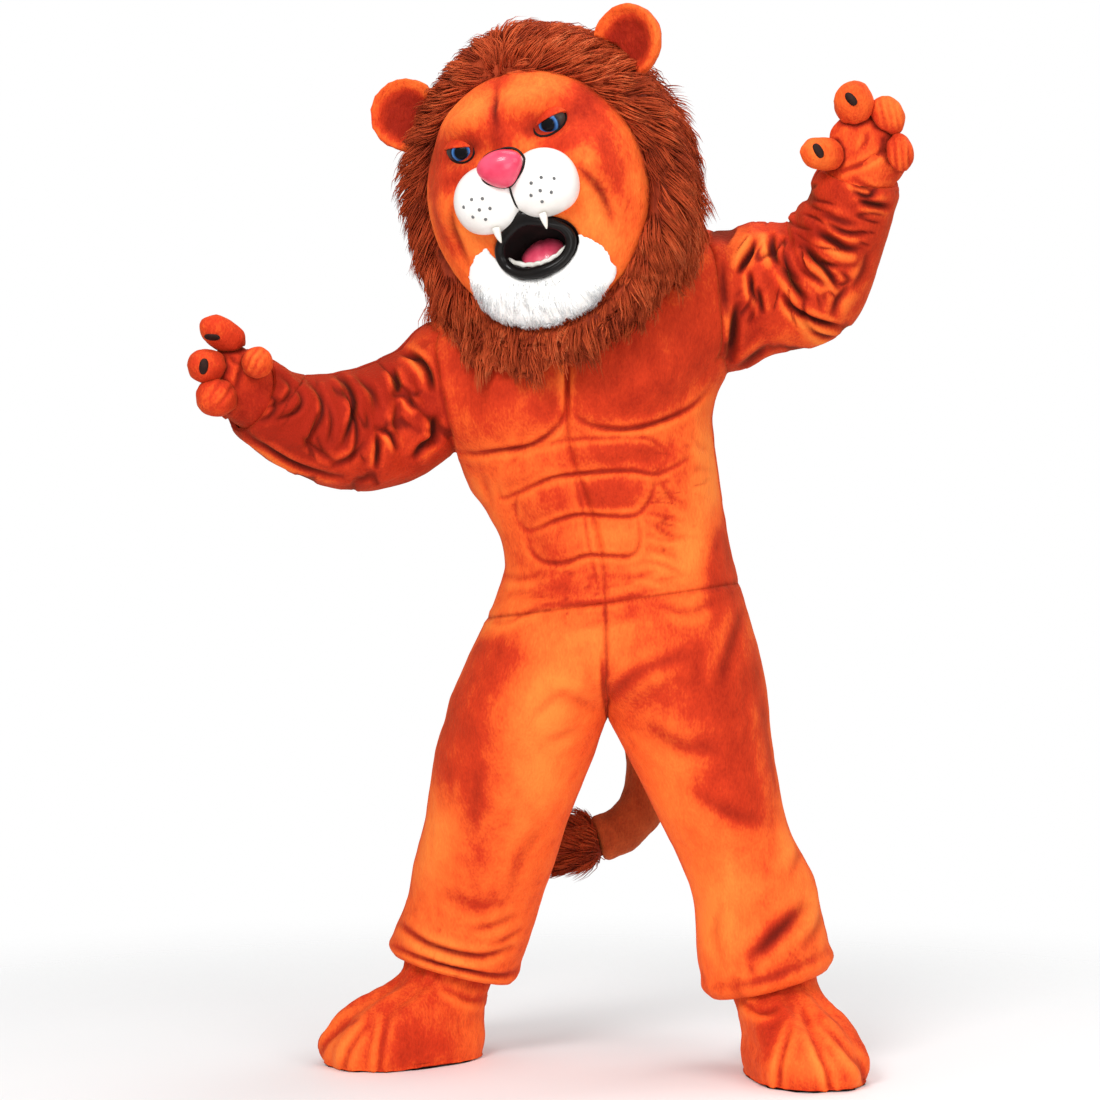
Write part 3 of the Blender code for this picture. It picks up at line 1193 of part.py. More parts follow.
def make_mouth(materials, head):
    turn = HEAD_COLUMNS
    lips = []
    for k in range(turn):
        around = 2 * math.pi * k / turn
        radius = LIP_RADII[0] + (LIP_RADII[1] - LIP_RADII[0]) * (1 - math.sin(around)) / 2
        edge = mouth_ring(radius + 0.0007, -0.006)[k]
        inward = (MOUTH_AT - edge)
        inward.y = 0
        inward.normalize()
        for j in range(6):
            angle = 2 * math.pi * j / 6
            lips.append(edge + inward * radius * math.cos(angle) + Vector((0, 1, 0)) * radius * math.sin(angle))
    polygons = []
    for k in range(turn):
        for j in range(6):
            n, m = (k + 1) % turn, (j + 1) % 6
            polygons.append((k * 6 + j, k * 6 + m, n * 6 + m, n * 6 + j))
    lip_polygons = facing_out(lips, polygons)
    add_object("lips", lips, lip_polygons, materials["lip"], head)
    rings = [mouth_ring(0.0012, 0.0114), mouth_ring(0.003, 0.034), mouth_ring(0.010, 0.066),
             mouth_ring(0.026, 0.086)]
    points = [p for ring in rings for p in ring]
    closed = facing_out(points, tube_polygons(4, turn, True, True))
    opened = [face for face in closed if set(face) != set(range(turn))]
    lining = add_object("mouth_lining", points, opened, materials["lip"], head)
    thicken(lining, 0.0025)
    bowl = bowl_form(points, turn, head)
    points, polygons = ball((0, -0.138, -0.132), (0.044, 0.036, 0.014), (14, 0, 0), 10, 6)
    tongue = add_object("tongue", points, polygons, materials["tongue"], head)
    keep_inside(tongue, bowl)
    arc = []
    for k in range(13):
        around = math.radians(-150 + 10 * k)
        edge = hood_point(around, FACE_TOP[-1], FACE_SIDE[-1], FACE_BOTTOM[-1])
        flat = Vector((edge.x, 0, edge.z - MOUTH_AT.z))
        arc.append(Vector((flat.x, 0, flat.z)) * ((flat.length - 0.0098) / flat.length)
                   + Vector((0, edge.y + 0.0145, MOUTH_AT.z)))
    teeth = sweep(arc, [0.0035] + [0.0052] * 11 + [0.0035], 6, Vector((0, 1, 0)))
    lower = add_object("lower_teeth", teeth, facing_out(teeth, tube_polygons(13, 6, True, True)),
                       materials["tooth"], head)
    keep_inside(lower, bowl)
    return swollen("lip_form", lips, lip_polygons, head, 2 * GAP)


def bowl_form(points, turn, head):
    # The room inside the mouth's lining, which the tongue and the lower teeth are trimmed to
    middle = sum(points, Vector()) / len(points)
    inner = []
    for i, p in enumerate(points):
        pull = middle - p
        pull.y = 0
        forward = -0.012 if i < turn else -0.0034
        inner.append(p + pull.normalized() * 0.0034 + Vector((0, forward, 0)))
    polygons = facing_out(inner, tube_polygons(len(points) // turn, turn, True, True))
    room = add_object("mouth_room", inner, polygons, cloth("cutter", WHITE), head)
    room.hide_render = True
    room.display_type = "WIRE"
    return room


def keep_inside(obj, room):
    modifier = obj.modifiers.new("inside_" + room.name, "BOOLEAN")
    modifier.operation = "INTERSECT"
    modifier.solver = "EXACT"
    modifier.object = room


EYE = dict(x=0.081, z=0.097, sink=0.0085, radii=(0.030, 0.016, 0.0155), lean=24)


def make_eyes(tree, face_form, materials, head):
    for side, name in ((1, "left"), (-1, "right")):
        spot = surface_at(tree, side * EYE["x"], EYE["z"])
        centre = spot + Vector((0, EYE["sink"] - 0.002, 0))
        points, polygons = ball(centre, EYE["radii"], (0, side * -EYE["lean"], side * 20), 10, 6)
        eye = add_object(f"eye_{name}", points, polygons, materials["eye"], head)
        cut_clear(eye, face_form)


def main():
    for obj in list(bpy.data.objects):
        bpy.data.objects.remove(obj)
    materials = {
        "plush": cloth("orange_plush", ORANGE),
        "fur": cloth("brown_fur", BROWN, 0.9),
        "white_plush": cloth("white_plush", WHITE, 0.9),
        "white_foam": cloth("white_muzzle", WHITE, 0.55),
        "pink": cloth("nose_pink", PINK, 0.35),
        "tongue": cloth("tongue_pink", PINK, 0.4),
        "lip": cloth("black_lip", BLACK, 0.25),
        "tooth": cloth("tooth_white", WHITE, 0.3),
        "eye": cloth("eye", EYE_BLUE, 0.12),
        "dark": cloth("claw_dark", DARK, 0.5),
        "sole": cloth("sole_rubber", DARK, 0.7),
    }
    costume = add_empty("costume", -NECK)
    suit = Suit()
    suit.make()
    lining = tree_of(suit.inner, suit.leg_faces())
    for side in ("left", "right"):
        points, polygons = make_boot(side, lining, materials["plush"], materials["sole"], costume)
        suit.push_clear(tree_of(points, polygons), 0.0006)
    for name, faces in suit.panels.items():
        suit.panel_object(name, faces, materials["plush"], costume)
    points, polygons = suit.whole()
    polygons = facing_out(points, polygons)
    suit_form = swollen("suit_form", points, polygons, costume)
    make_mitt(1, LEFT_SLEEVE, LEFT_PALM, LEFT_DIGITS, materials["plush"], materials["dark"], costume)
    make_mitt(-1, RIGHT_SLEEVE, RIGHT_PALM, RIGHT_DIGITS, materials["plush"], materials["dark"], costume)
    make_tail(suit_form, materials["plush"], materials["fur"], costume)
    make_head(points, polygons, materials, costume)


main()
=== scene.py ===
# Lion costume, worn pose, nobody in it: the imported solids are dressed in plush, long pile and gloss paint
import math
from contextlib import contextmanager

import bmesh
import bpy
import numpy as np
from mathutils import Matrix, Vector, noise
from mathutils.bvhtree import BVHTree
from mathutils.kdtree import KDTree


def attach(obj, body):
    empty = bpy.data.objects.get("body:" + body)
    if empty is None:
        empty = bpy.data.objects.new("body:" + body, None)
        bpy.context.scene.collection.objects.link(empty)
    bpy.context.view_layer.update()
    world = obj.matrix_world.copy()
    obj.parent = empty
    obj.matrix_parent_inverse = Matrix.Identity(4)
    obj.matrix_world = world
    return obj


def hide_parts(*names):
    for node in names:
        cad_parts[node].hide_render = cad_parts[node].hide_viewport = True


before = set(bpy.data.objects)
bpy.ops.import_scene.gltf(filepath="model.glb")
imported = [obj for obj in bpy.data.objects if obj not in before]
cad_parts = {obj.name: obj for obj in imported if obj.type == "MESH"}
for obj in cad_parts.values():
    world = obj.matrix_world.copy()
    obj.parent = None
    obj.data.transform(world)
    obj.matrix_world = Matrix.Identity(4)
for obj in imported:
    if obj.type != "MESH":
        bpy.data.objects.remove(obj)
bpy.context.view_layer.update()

scene = bpy.context.scene
neck = np.array([0.050, -0.050, 1.440])  # this frame's origin, seen from the floor below it
camera = {"centre": 550, "metresPerPixel": 0.0018, "distance": 5.0, "height": 0.945, "size": 1100}
viewPoint = np.array([-neck[0], -camera["distance"] - neck[1], camera["height"] - neck[2]])
weld = 0.00001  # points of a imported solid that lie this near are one
print("frame loaded")


def selectOnly(*objects):
    bpy.ops.object.select_all(action="DESELECT")
    for obj in objects:
        obj.select_set(True)
    bpy.context.view_layer.objects.active = objects[0]


def linked(name, mesh):
    obj = bpy.data.objects.new(name, mesh)
    scene.collection.objects.link(obj)
    return obj


@contextmanager
def edited(mesh):
    # a mesh opened for editing, and written back at the end
    form = bmesh.new()
    form.from_mesh(mesh)
    yield form
    form.to_mesh(mesh)
    form.free()


def sewn(obj, distance, degrees, materials=False):
    # near points become one, and triangles are paired into quads
    selectOnly(obj)
    angle = math.radians(degrees)
    bpy.ops.object.mode_set(mode="EDIT")
    bpy.ops.mesh.select_all(action="SELECT")
    bpy.ops.mesh.remove_doubles(threshold=distance)
    bpy.ops.mesh.tris_convert_to_quads(face_threshold=angle, shape_threshold=angle, materials=materials)
    bpy.ops.object.mode_set(mode="OBJECT")
    return obj


def copied(node, name):
    obj = linked(name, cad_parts[node].data.copy())
    obj.data.materials.clear()
    return sewn(obj, weld, 50)


def smoothShaded(obj):
    selectOnly(obj)
    bpy.ops.object.shade_smooth()
    return obj


def applied(obj, kind, **settings):
    selectOnly(obj)
    bpy.ops.object.modifier_add(type=kind)
    modifier = obj.modifiers[-1]
    for key, value in settings.items():
        setattr(modifier, key, value)
    bpy.ops.object.modifier_apply(modifier=modifier.name)
    return obj


def refined(obj, levels):
    return smoothShaded(applied(obj, "SUBSURF", levels=levels, render_levels=levels))


def evened(obj, voxel, rounds):
    # a closed form in even small quads, its corners eased
    applied(obj, "REMESH", mode="VOXEL", voxel_size=voxel)
    return applied(obj, "SMOOTH", factor=0.5, iterations=rounds)


def creased(obj, degrees):
    # sharp edges keep their place when the piece is refined
    with edited(obj.data) as form:
        layer = form.edges.layers.float.get("crease_edge") or form.edges.layers.float.new("crease_edge")
        for edge in form.edges:
            if len(edge.link_faces) == 2 and edge.calc_face_angle() > math.radians(degrees):
                edge[layer] = 1.0
    return obj


def declared(piece, slot, *nodes):
    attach(piece, "root")
    if nodes:
        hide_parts(*nodes)
    return piece


def perPoint(obj, key):
    found = np.zeros(len(obj.data.vertices) * 3)
    obj.data.vertices.foreach_get(key, found)
    return found.reshape(-1, 3)


def pointsOf(obj):
    return perPoint(obj, "co")


def normalsOf(obj):
    return perPoint(obj, "normal")


def wholeNumbers(items, key, each=1):
    # one or more whole numbers of every item
    found = np.zeros(len(items) * each, int)
    items.foreach_get(key, found)
    return found


def movePoints(obj, points):
    obj.data.vertices.foreach_set("co", np.ascontiguousarray(points, float).ravel())
    obj.data.update()


def mark(obj, name, values):
    # a number on every point, for a material to read
    layer = obj.data.attributes.get(name) or obj.data.attributes.new(name, "FLOAT", "POINT")
    layer.data.foreach_set("value", np.ascontiguousarray(values, float))


def treeOf(meshes):
    # the surfaces of meshes, to look for the nearest place or along a ray
    points, faces = [], []
    for mesh in meshes:
        start = len(points)
        points += [v.co.copy() for v in mesh.vertices]
        faces += [[start + i for i in p.vertices] for p in mesh.polygons]
    return BVHTree.FromPolygons(points, faces)


def nearestOf(points):
    # many points, to look for the nearest
    tree = KDTree(len(points))
    for number, spot in enumerate(points):
        tree.insert(spot, number)
    tree.balance()
    return tree


def toPhoto(points):
    # where points lie in the photograph's frame, in its pixels
    scale = camera["distance"] / (camera["distance"] + points[:, 1] + neck[1]) / camera["metresPerPixel"]
    across = camera["centre"] + (points[:, 0] + neck[0]) * scale
    down = camera["centre"] - (points[:, 2] + neck[2] - camera["height"]) * scale
    return np.column_stack([across, down])


def softStep(values, low, high):
    share = np.clip((values - low) / (high - low), 0, 1)
    return share * share * (3 - 2 * share)


def bell(values, width):
    return np.exp(-(values / width) ** 2)


def unit(vectors):
    return vectors / np.maximum(np.linalg.norm(vectors, axis=1), 1e-9)[:, None]


def wobble(points, size, seed):
    # smooth noise from -1 to 1 over points
    shift = Vector((seed, 2.3 * seed, 0.7 * seed))
    return np.array([noise.noise(Vector(p) / size + shift) for p in points])


def smoothLine(corners, count=28):
    # a soft curve through a few corners
    corners = np.array(corners, float)
    t = np.linspace(0, len(corners) - 1, count)
    i = np.minimum(t.astype(int), len(corners) - 2)
    f = (t - i)[:, None]
    padded = np.vstack([2 * corners[0] - corners[1], corners, 2 * corners[-1] - corners[-2]])
    a, b, c, d = (padded[i + k] for k in range(4))
    square, cube = 2 * a - 5 * b + 4 * c - d, 3 * b - a - 3 * c + d
    return 0.5 * (2 * b + (c - a) * f + square * f ** 2 + cube * f ** 3)


def nearLine(spots, line):
    # distance from a curve, its sign (positive to the right of the way it runs), and the share along it
    best = np.full(len(spots), 1e9)
    sign, along = np.ones(len(spots)), np.zeros(len(spots))
    run = np.concatenate([[0], np.cumsum(np.linalg.norm(np.diff(line, axis=0), axis=1))])
    for k in range(len(line) - 1):
        a, b = line[k], line[k + 1]
        way = b - a
        length = max(float(way @ way), 1e-9)
        share = np.clip((spots - a) @ way / length, 0, 1)
        gap = spots - (a + share[:, None] * way)
        distance = np.linalg.norm(gap, axis=1)
        closer = distance < best
        best[closer] = distance[closer]
        sign[closer] = np.where(way[0] * gap[:, 1] - way[1] * gap[:, 0] > 0, 1.0, -1.0)[closer]
        along[closer] = ((run[k] + share * (run[k + 1] - run[k])) / run[-1])[closer]
    return best, sign, along


foldForm = {
    "margin": 5,  # how far a fold reaches past its line, in its half widths
    "taper": 0.6,  # how bluntly it ends
    # the ridges beside it: place and width in its half widths, and the share of the lower one
    "brimPlace": 2.1, "brimWidth": 1.5, "farBrim": 0.5,
    # the fullest tones: the darkest painted shade in a trough and the brightest painted highlight on a brim
    "darkest": 6, "brightest": 3,  # the depth and the brim in millimetres that give the fullest tones
}


def foldsOver(spots, folds):
    # what a table of folds does at each spot: height in metres, the painted shade of its trough (0 to 1), and
    # the painted highlight near the crest of a ridge
    rise, hollow, crestHighlight = np.zeros(len(spots)), np.zeros(len(spots)), np.zeros(len(spots))
    for corners, depth, width, brim in folds:
        line = smoothLine(corners)
        margin = foldForm["margin"] * width
        inside = np.nonzero(((spots > line.min(0) - margin) & (spots < line.max(0) + margin)).all(1))[0]
        if not len(inside):
            continue
        distance, sign, along = nearLine(spots[inside], line)
        taper = np.sin(np.pi * np.clip(along, 0.0, 1.0)) ** foldForm["taper"]
        trough = bell(distance, width) * taper
        reach, place, spread = sign * distance, foldForm["brimPlace"] * width, foldForm["brimWidth"] * width
        ridge = (bell(reach - place, spread) + foldForm["farBrim"] * bell(reach + place, spread)) * taper
        rise[inside] += 0.001 * (brim * ridge - depth * trough)
        hollow[inside] = np.maximum(hollow[inside], trough * min(depth / foldForm["darkest"], 1))
        crestHighlight[inside] = np.maximum(crestHighlight[inside], ridge * min(brim / foldForm["brightest"], 1))
    return rise, hollow, crestHighlight


crinkleForm = {
    "length": 3.2, "width": 0.12,  # a crease's run, in spacings, and its width as a share of the noise
    "gateAlong": 2.2, "gateAcross": 1.6, "gateSeed": 7.7,  # the patches where creases show, in spacings
    "gateLow": -0.05, "gateReach": 0.3,
}


def crinkles(spots, axis, spacing, seed):
    # fine creases that run across an axis, broken up along their way: how deep in one each spot lies (0 to 1)
    line = smoothLine(axis, 40)
    length = np.linalg.norm(np.diff(line, axis=0), axis=1).sum()
    distance, sign, along = nearLine(spots, line)
    run, patch = spacing * crinkleForm["length"], spacing * crinkleForm["gateAlong"]
    patchAcross, patchSeed = spacing * crinkleForm["gateAcross"], seed + crinkleForm["gateSeed"]
    found = np.zeros(len(spots))
    for k, (t, s) in enumerate(zip(along * length, sign * distance)):
        level = noise.noise(Vector((t / spacing, s / run, seed)))
        gate = noise.noise(Vector((t / patch, s / patchAcross, patchSeed)))
        shown = min(max((gate - crinkleForm["gateLow"]) / crinkleForm["gateReach"], 0), 1)
        found[k] = math.exp(-(level / crinkleForm["width"]) ** 2) * shown
    return found


def blobsOver(spots, blobs):
    # soft patches at pixels of the photograph's frame: centre, reach across and down, value
    total = np.zeros(len(spots))
    for x, y, wide, high, value in blobs:
        total += value * np.exp(-((spots[:, 0] - x) / wide) ** 2 - ((spots[:, 1] - y) / high) ** 2)
    return np.clip(total, -1, 1)


class Wire:
    # a socket that can take part in a sum

    def __init__(self, finish, socket):
        self.finish, self.socket = finish, socket

    def joined(self, operation, left, right):
        return self.finish.node("ShaderNodeMath", {"operation": operation}, {0: left, 1: right})

    def __add__(self, other):
        return self.joined("ADD", self, other)

    def __radd__(self, other):
        return self.joined("ADD", other, self)

    def __sub__(self, other):
        return self.joined("SUBTRACT", self, other)

    def __rsub__(self, other):
        return self.joined("SUBTRACT", other, self)

    def __mul__(self, other):
        return self.joined("MULTIPLY", self, other)

    def __rmul__(self, other):
        return self.joined("MULTIPLY", other, self)

    def __pow__(self, other):
        return self.joined("POWER", self, other)


# What all the finishes share, by the names of the surface's sockets
commonSurface = {"Sheen Roughness": 0.45, "Coat Roughness": 0.12, "Subsurface Radius": (1.0, 0.95, 0.85),
                 "Subsurface Scale": 0.004}


class Finish:
    # one material and the short ways to wire it

    def __init__(self, name, roughness=0.8, sheen=0.0, sheenTint=(1, 1, 1, 1), coat=0.0, subsurface=0.0,
                 specular=0.5):
        self.material = bpy.data.materials.new(name)
        self.material.use_nodes = True
        self.tree = self.material.node_tree
        self.surface = self.tree.nodes["Principled BSDF"]
        own = {"Roughness": roughness, "Sheen Weight": sheen, "Sheen Tint": sheenTint, "Coat Weight": coat,
               "Specular IOR Level": specular, "Subsurface Weight": subsurface}
        for key, value in {**own, **commonSurface}.items():
            self.surface.inputs[key].default_value = value
        self.place = self.node("ShaderNodeTexCoord", output="Object")

    def feed(self, socket, value):
        if isinstance(value, Wire):
            self.tree.links.new(value.socket, socket)
        else:
            socket.default_value = value

    def node(self, kind, settings=None, inputs=None, output=0):
        made = self.tree.nodes.new(kind)
        for key, value in (settings or {}).items():
            if key == "stops":
                ramp = made.color_ramp
                while len(ramp.elements) < len(value):
                    ramp.elements.new(0.5)
                for element, (position, colour) in zip(ramp.elements, value):
                    element.position = position
                    element.color = (*colour, 1)
            else:
                setattr(made, key, value)
        for key, value in (inputs or {}).items():
            self.feed(made.inputs[key], value)
        return Wire(self, made.outputs[output])

    def clouds(self, size, detail=3.0, stretch=None, offset=(0, 0, 0), roughness=0.5):
        # soft noise from 0 to 1, its spots about the given size in metres
        where = self.place
        if stretch:
            where = self.node("ShaderNodeMapping", inputs={"Vector": self.place, "Location": offset,
                                                           "Scale": stretch})
        return self.node("ShaderNodeTexNoise", inputs={"Vector": where, "Scale": 1 / size, "Detail": detail,
                                                       "Roughness": roughness})

    def reads(self, attribute):
        return self.node("ShaderNodeAttribute", {"attribute_name": attribute}, output="Fac")

    def ramp(self, value, stops):
        return self.node("ShaderNodeValToRGB", {"stops": stops}, {"Fac": value}, output="Color")

    def blend(self, share, first, second):
        made = self.tree.nodes.new("ShaderNodeMix")
        made.data_type = "RGBA"
        for socket, value in zip((0, 6, 7), (share, first, second)):  # the factor and the two colours
            self.feed(made.inputs[socket], value)
        return Wire(self, made.outputs[2])

    def colour(self, value):
        self.feed(self.surface.inputs["Base Color"], value)

    def roughBetween(self, value, low, high):
        rough = self.node("ShaderNodeMapRange", inputs={"Value": value, "To Min": low, "To Max": high})
        self.feed(self.surface.inputs["Roughness"], rough)

    def bump(self, height, distance):
        normal = self.node("ShaderNodeBump", inputs={"Height": height, "Distance": distance, "Strength": 1.0},
                           output="Normal")
        self.feed(self.surface.inputs["Normal"], normal)


plush = {
    # tones of the pile from deep red to bright, and the near-black of the painted shade in the deepest
    # creases
    "crease": (0.060, 0.004, 0.002), "deep": (0.36, 0.016, 0.005), "red": (0.62, 0.040, 0.010),
    "orange": (0.90, 0.120, 0.020), "bright": (1.0, 0.23, 0.038),
    "stops": {"deep": 0.10, "red": 0.38, "orange": 0.58, "bright": 0.92},
    "patchSize": 0.11, "rufflesPerPatch": 5, "pileSize": 0.0035, "pileHeight": 0.0016,
    # how far strokes of the hand, ruffles, single tufts and the painted shade of hollows shift the tone
    "stroke": 1.0, "ruffle": 0.65, "pile": 0.60, "hollow": 0.75, "range": 0.5, "middle": 0.5,
    "creaseEdge": 1.6, "roughness": (0.88, 0.66), "ruffleHeight": 1.5,
}


def plushFinish(name, settings, lift=0.0):
    # short pile: where it lies flat it is bright, where it is stroked up it turns deep red, and painted shade
    # darkens its folds
    finish = Finish(name, roughness=0.78, sheen=0.22, sheenTint=(1.0, 0.32, 0.08, 1), specular=0.10)
    patch = settings["patchSize"]
    stroke = finish.clouds(patch, roughness=0.55)
    ruffle = finish.clouds(patch / settings["rufflesPerPatch"], stretch=(1, 1, 0.55), offset=(3, 1, 2))
    pile = finish.clouds(settings["pileSize"], 2.0, stretch=(1.0, 1.0, 0.45))
    tone = (finish.reads("nap") + (stroke - 0.5) * settings["stroke"] + (ruffle - 0.5) * settings["ruffle"]
            + (pile - 0.5) * settings["pile"] - finish.reads("hollow") * settings["hollow"])
    tone = tone * settings["range"] + (settings["middle"] + lift)
    colour = finish.ramp(tone, [(place, settings[key]) for key, place in settings["stops"].items()])
    # painted shade: the deepest hollows turn towards the near-black crease colour
    hollow = finish.reads("hollow")
    finish.colour(finish.blend(hollow ** settings["creaseEdge"], colour, (*settings["crease"], 1)))
    finish.roughBetween(stroke, *settings["roughness"])
    finish.bump(pile + ruffle * settings["ruffleHeight"], settings["pileHeight"])
    return finish.material


plainTones = {"dark": 0.3, "light": 0.7, "smoother": 0.85, "rougher": 1.2}


def plainFinish(name, dark, light, size=0.03, roughness=0.4, grain=0.0002, grainSize=0.002, **surface):
    # paint or smooth cloth: two close tones in soft clouds, and a fine grain
    finish = Finish(name, roughness=roughness, **surface)
    clouds = finish.clouds(size, 4.0)
    finish.colour(finish.ramp(clouds, [(plainTones["dark"], dark), (plainTones["light"], light)]))
    finish.roughBetween(clouds, roughness * plainTones["smoother"], min(roughness * plainTones["rougher"], 1))
    finish.bump(finish.clouds(grainSize), grain)
    return finish.material


# How far a lock's own tone, wide clouds, streaks and the way from root to tip shift the tone of long pile
furTones = {"lock": 0.5, "cloudSize": 0.09, "clouds": 0.7, "streaks": 0.4, "along": 0.35, "start": 0.05,
            "stops": (0.05, 0.35, 0.65, 0.95), "height": 0.002}


def furFinish(name, tones, streakSize=0.006, **surface):
    # long pile: every lock has its own tone, and each strand darkens towards its root
    finish = Finish(name, roughness=0.72, specular=0.12, **surface)
    lock = finish.reads("lock")
    along = finish.reads("along")
    clouds = finish.clouds(furTones["cloudSize"])
    streak = finish.clouds(streakSize, 2.0, stretch=(1, 1, 0.15))
    tone = (lock * furTones["lock"] + (clouds - 0.5) * furTones["clouds"]
            + (streak - 0.5) * furTones["streaks"] + along * furTones["along"] + furTones["start"])
    finish.colour(finish.ramp(tone, list(zip(furTones["stops"], tones))))
    finish.bump(streak, furTones["height"])
    return finish.material


suit = {
    "panels": ["top_front_left", "top_front_right", "top_back_left", "top_back_right",
               "sleeve_front_left", "sleeve_back_left", "sleeve_front_right", "sleeve_back_right",
               "leg_front_left", "leg_back_left", "leg_front_right", "leg_back_right"],
    "levels": 3, "wall": 0.006, "seamDepth": 0.0024, "seamWidth": 0.0055,
    # a wall's rim: how near the next panel it lies, how squarely it faces it, and how sharply it turns
    "rimGap": 0.0012, "rimFacing": -0.7, "rimTurn": 78, "firstFacing": 0.7, "sewGap": 0.0014, "pairAngle": 60,
    # fine creases: the axis they cross and their spacing in the photograph's pixels, their depth in metres,
    # the darkness of their painted shade, and seed
    "crinkles": [([(425, 350), (380, 400), (310, 425), (255, 405)], 14, 0.0042, 0.75, 1.3),
                 ([(715, 265), (780, 300), (835, 290), (862, 235), (872, 185)], 14, 0.0042, 0.75, 4.1),
                 ([(560, 560), (570, 585), (575, 615)], 9, 0.0014, 0.40, 2.2),
                 ([(690, 440), (676, 500), (668, 570)], 11, 0.0014, 0.42, 5.7),
                 ([(425, 940), (455, 965), (470, 985)], 9, 0.0016, 0.35, 3.2),
                 ([(800, 930), (770, 960), (760, 985)], 9, 0.0016, 0.35, 8.8)],
    # each panel's cut: width and length of the piece in metres, and its flat area in square metres
    "flat": {"top_front": ((0.40, 0.70), 0.22), "top_back": ((0.38, 0.70), 0.205),
             "sleeve_front": ((0.28, 0.60), 0.145), "sleeve_back": ((0.27, 0.60), 0.13),
             "leg_front": ((0.46, 0.82), 0.315), "leg_back": ((0.44, 0.82), 0.29)},
}

# Quilted grooves and folds of the front, as the photograph's frame shows them: corners in pixels,
# depth in millimetres, half width in pixels, and the height in millimetres of the brim beside it
frontFolds = [
    # centre seam of the muscle top and the lower edges of the chest pads
    ([(566, 340), (567, 380), (568, 416)], 4.5, 2.4, 2.5),
    ([(572, 440), (576, 480), (585, 520), (591, 556), (600, 596)], 2.2, 2.2, 0.8),
    ([(456, 451), (475, 454), (502, 451), (527, 447), (545, 438), (560, 424), (567, 408)], 7, 2.8, 1.6),
    ([(571, 410), (580, 420), (596, 427), (622, 429), (648, 425), (672, 417), (694, 405),
       (710, 388)], 7, 2.8, 1.6),
    # belly pads, row by row
    ([(500, 474), (516, 458), (543, 445), (580, 439), (640, 437), (660, 445), (668, 458),
       (655, 473)], 2.6, 2.2, 1.2),
    ([(497, 480), (502, 498), (524, 490), (553, 478), (589, 473), (630, 470), (655, 474), (672, 468),
       (694, 455)], 5, 2.4, 1.4),
    ([(655, 474), (652, 496), (637, 514), (610, 516), (579, 515), (553, 522), (530, 531),
       (517, 521)], 4.6, 2.4, 1.4),
    ([(530, 531), (529, 547), (543, 561), (565, 563), (589, 555), (630, 556), (640, 540),
       (637, 514)], 4.6, 2.4, 1.4),
    ([(517, 521), (515, 505), (518, 490)], 2.0, 2.2, 0.6),
    ([(640, 560), (668, 566), (690, 580)], 2.5, 2.6, 1.0),
    ([(650, 582), (672, 584), (690, 586)], 2.0, 2.4, 0.8),
    # waist seam, pulled up in the middle
    ([(474, 613), (502, 623), (530, 611), (553, 605), (604, 602), (655, 590), (676, 582)], 3.2, 2.6, 1.8),
    ([(500, 600), (520, 592), (560, 598)], 2.0, 4.5, 0.8),
    ([(560, 630), (600, 622), (640, 614)], 1.8, 5.0, 1.0),
    # soft drags from the sides of the waist, and the fork
    ([(520, 560), (545, 585), (600, 590)], 1.5, 6.0, 0.8),
    ([(660, 480), (674, 500), (690, 512)], 2.2, 3.6, 1.4),
    ([(650, 520), (668, 534), (690, 540)], 2.2, 3.6, 1.4),
    ([(644, 548), (664, 552), (684, 562)], 2.0, 3.6, 1.2),
    ([(500, 575), (520, 578), (548, 572)], 2.4, 3.6, 1.6),
    ([(606, 575), (630, 578), (660, 570)], 2.2, 3.6, 1.4),
    ([(660, 606), (690, 612), (716, 600)], 2.2, 4.2, 1.4),
    ([(652, 500), (672, 498), (690, 506)], 2.4, 2.4, 1.2),
    ([(646, 512), (668, 518), (686, 522)], 2.2, 2.2, 1.2),
    ([(644, 532), (664, 540), (690, 538)], 2.4, 2.4, 1.2),
    ([(640, 576), (664, 580), (688, 574)], 2.4, 2.4, 1.2),
    ([(600, 588), (626, 584), (650, 588)], 2.2, 2.4, 1.2),
    ([(520, 600), (540, 596), (562, 600)], 2.0, 2.4, 1.0),
    ([(476, 540), (492, 552), (500, 566)], 2.2, 3.6, 1.4),
    ([(478, 470), (488, 492), (492, 512)], 2.0, 3.6, 1.2),
    ([(690, 430), (700, 446), (712, 452)], 2.0, 3.6, 1.2),
    ([(602, 650), (604, 690), (606, 716)], 3.5, 3.0, 1.2),
    ([(606, 700), (640, 672), (690, 652)], 2.5, 6.0, 2.0),
    ([(600, 712), (575, 700), (540, 690)], 2.0, 6.0, 1.4),
]
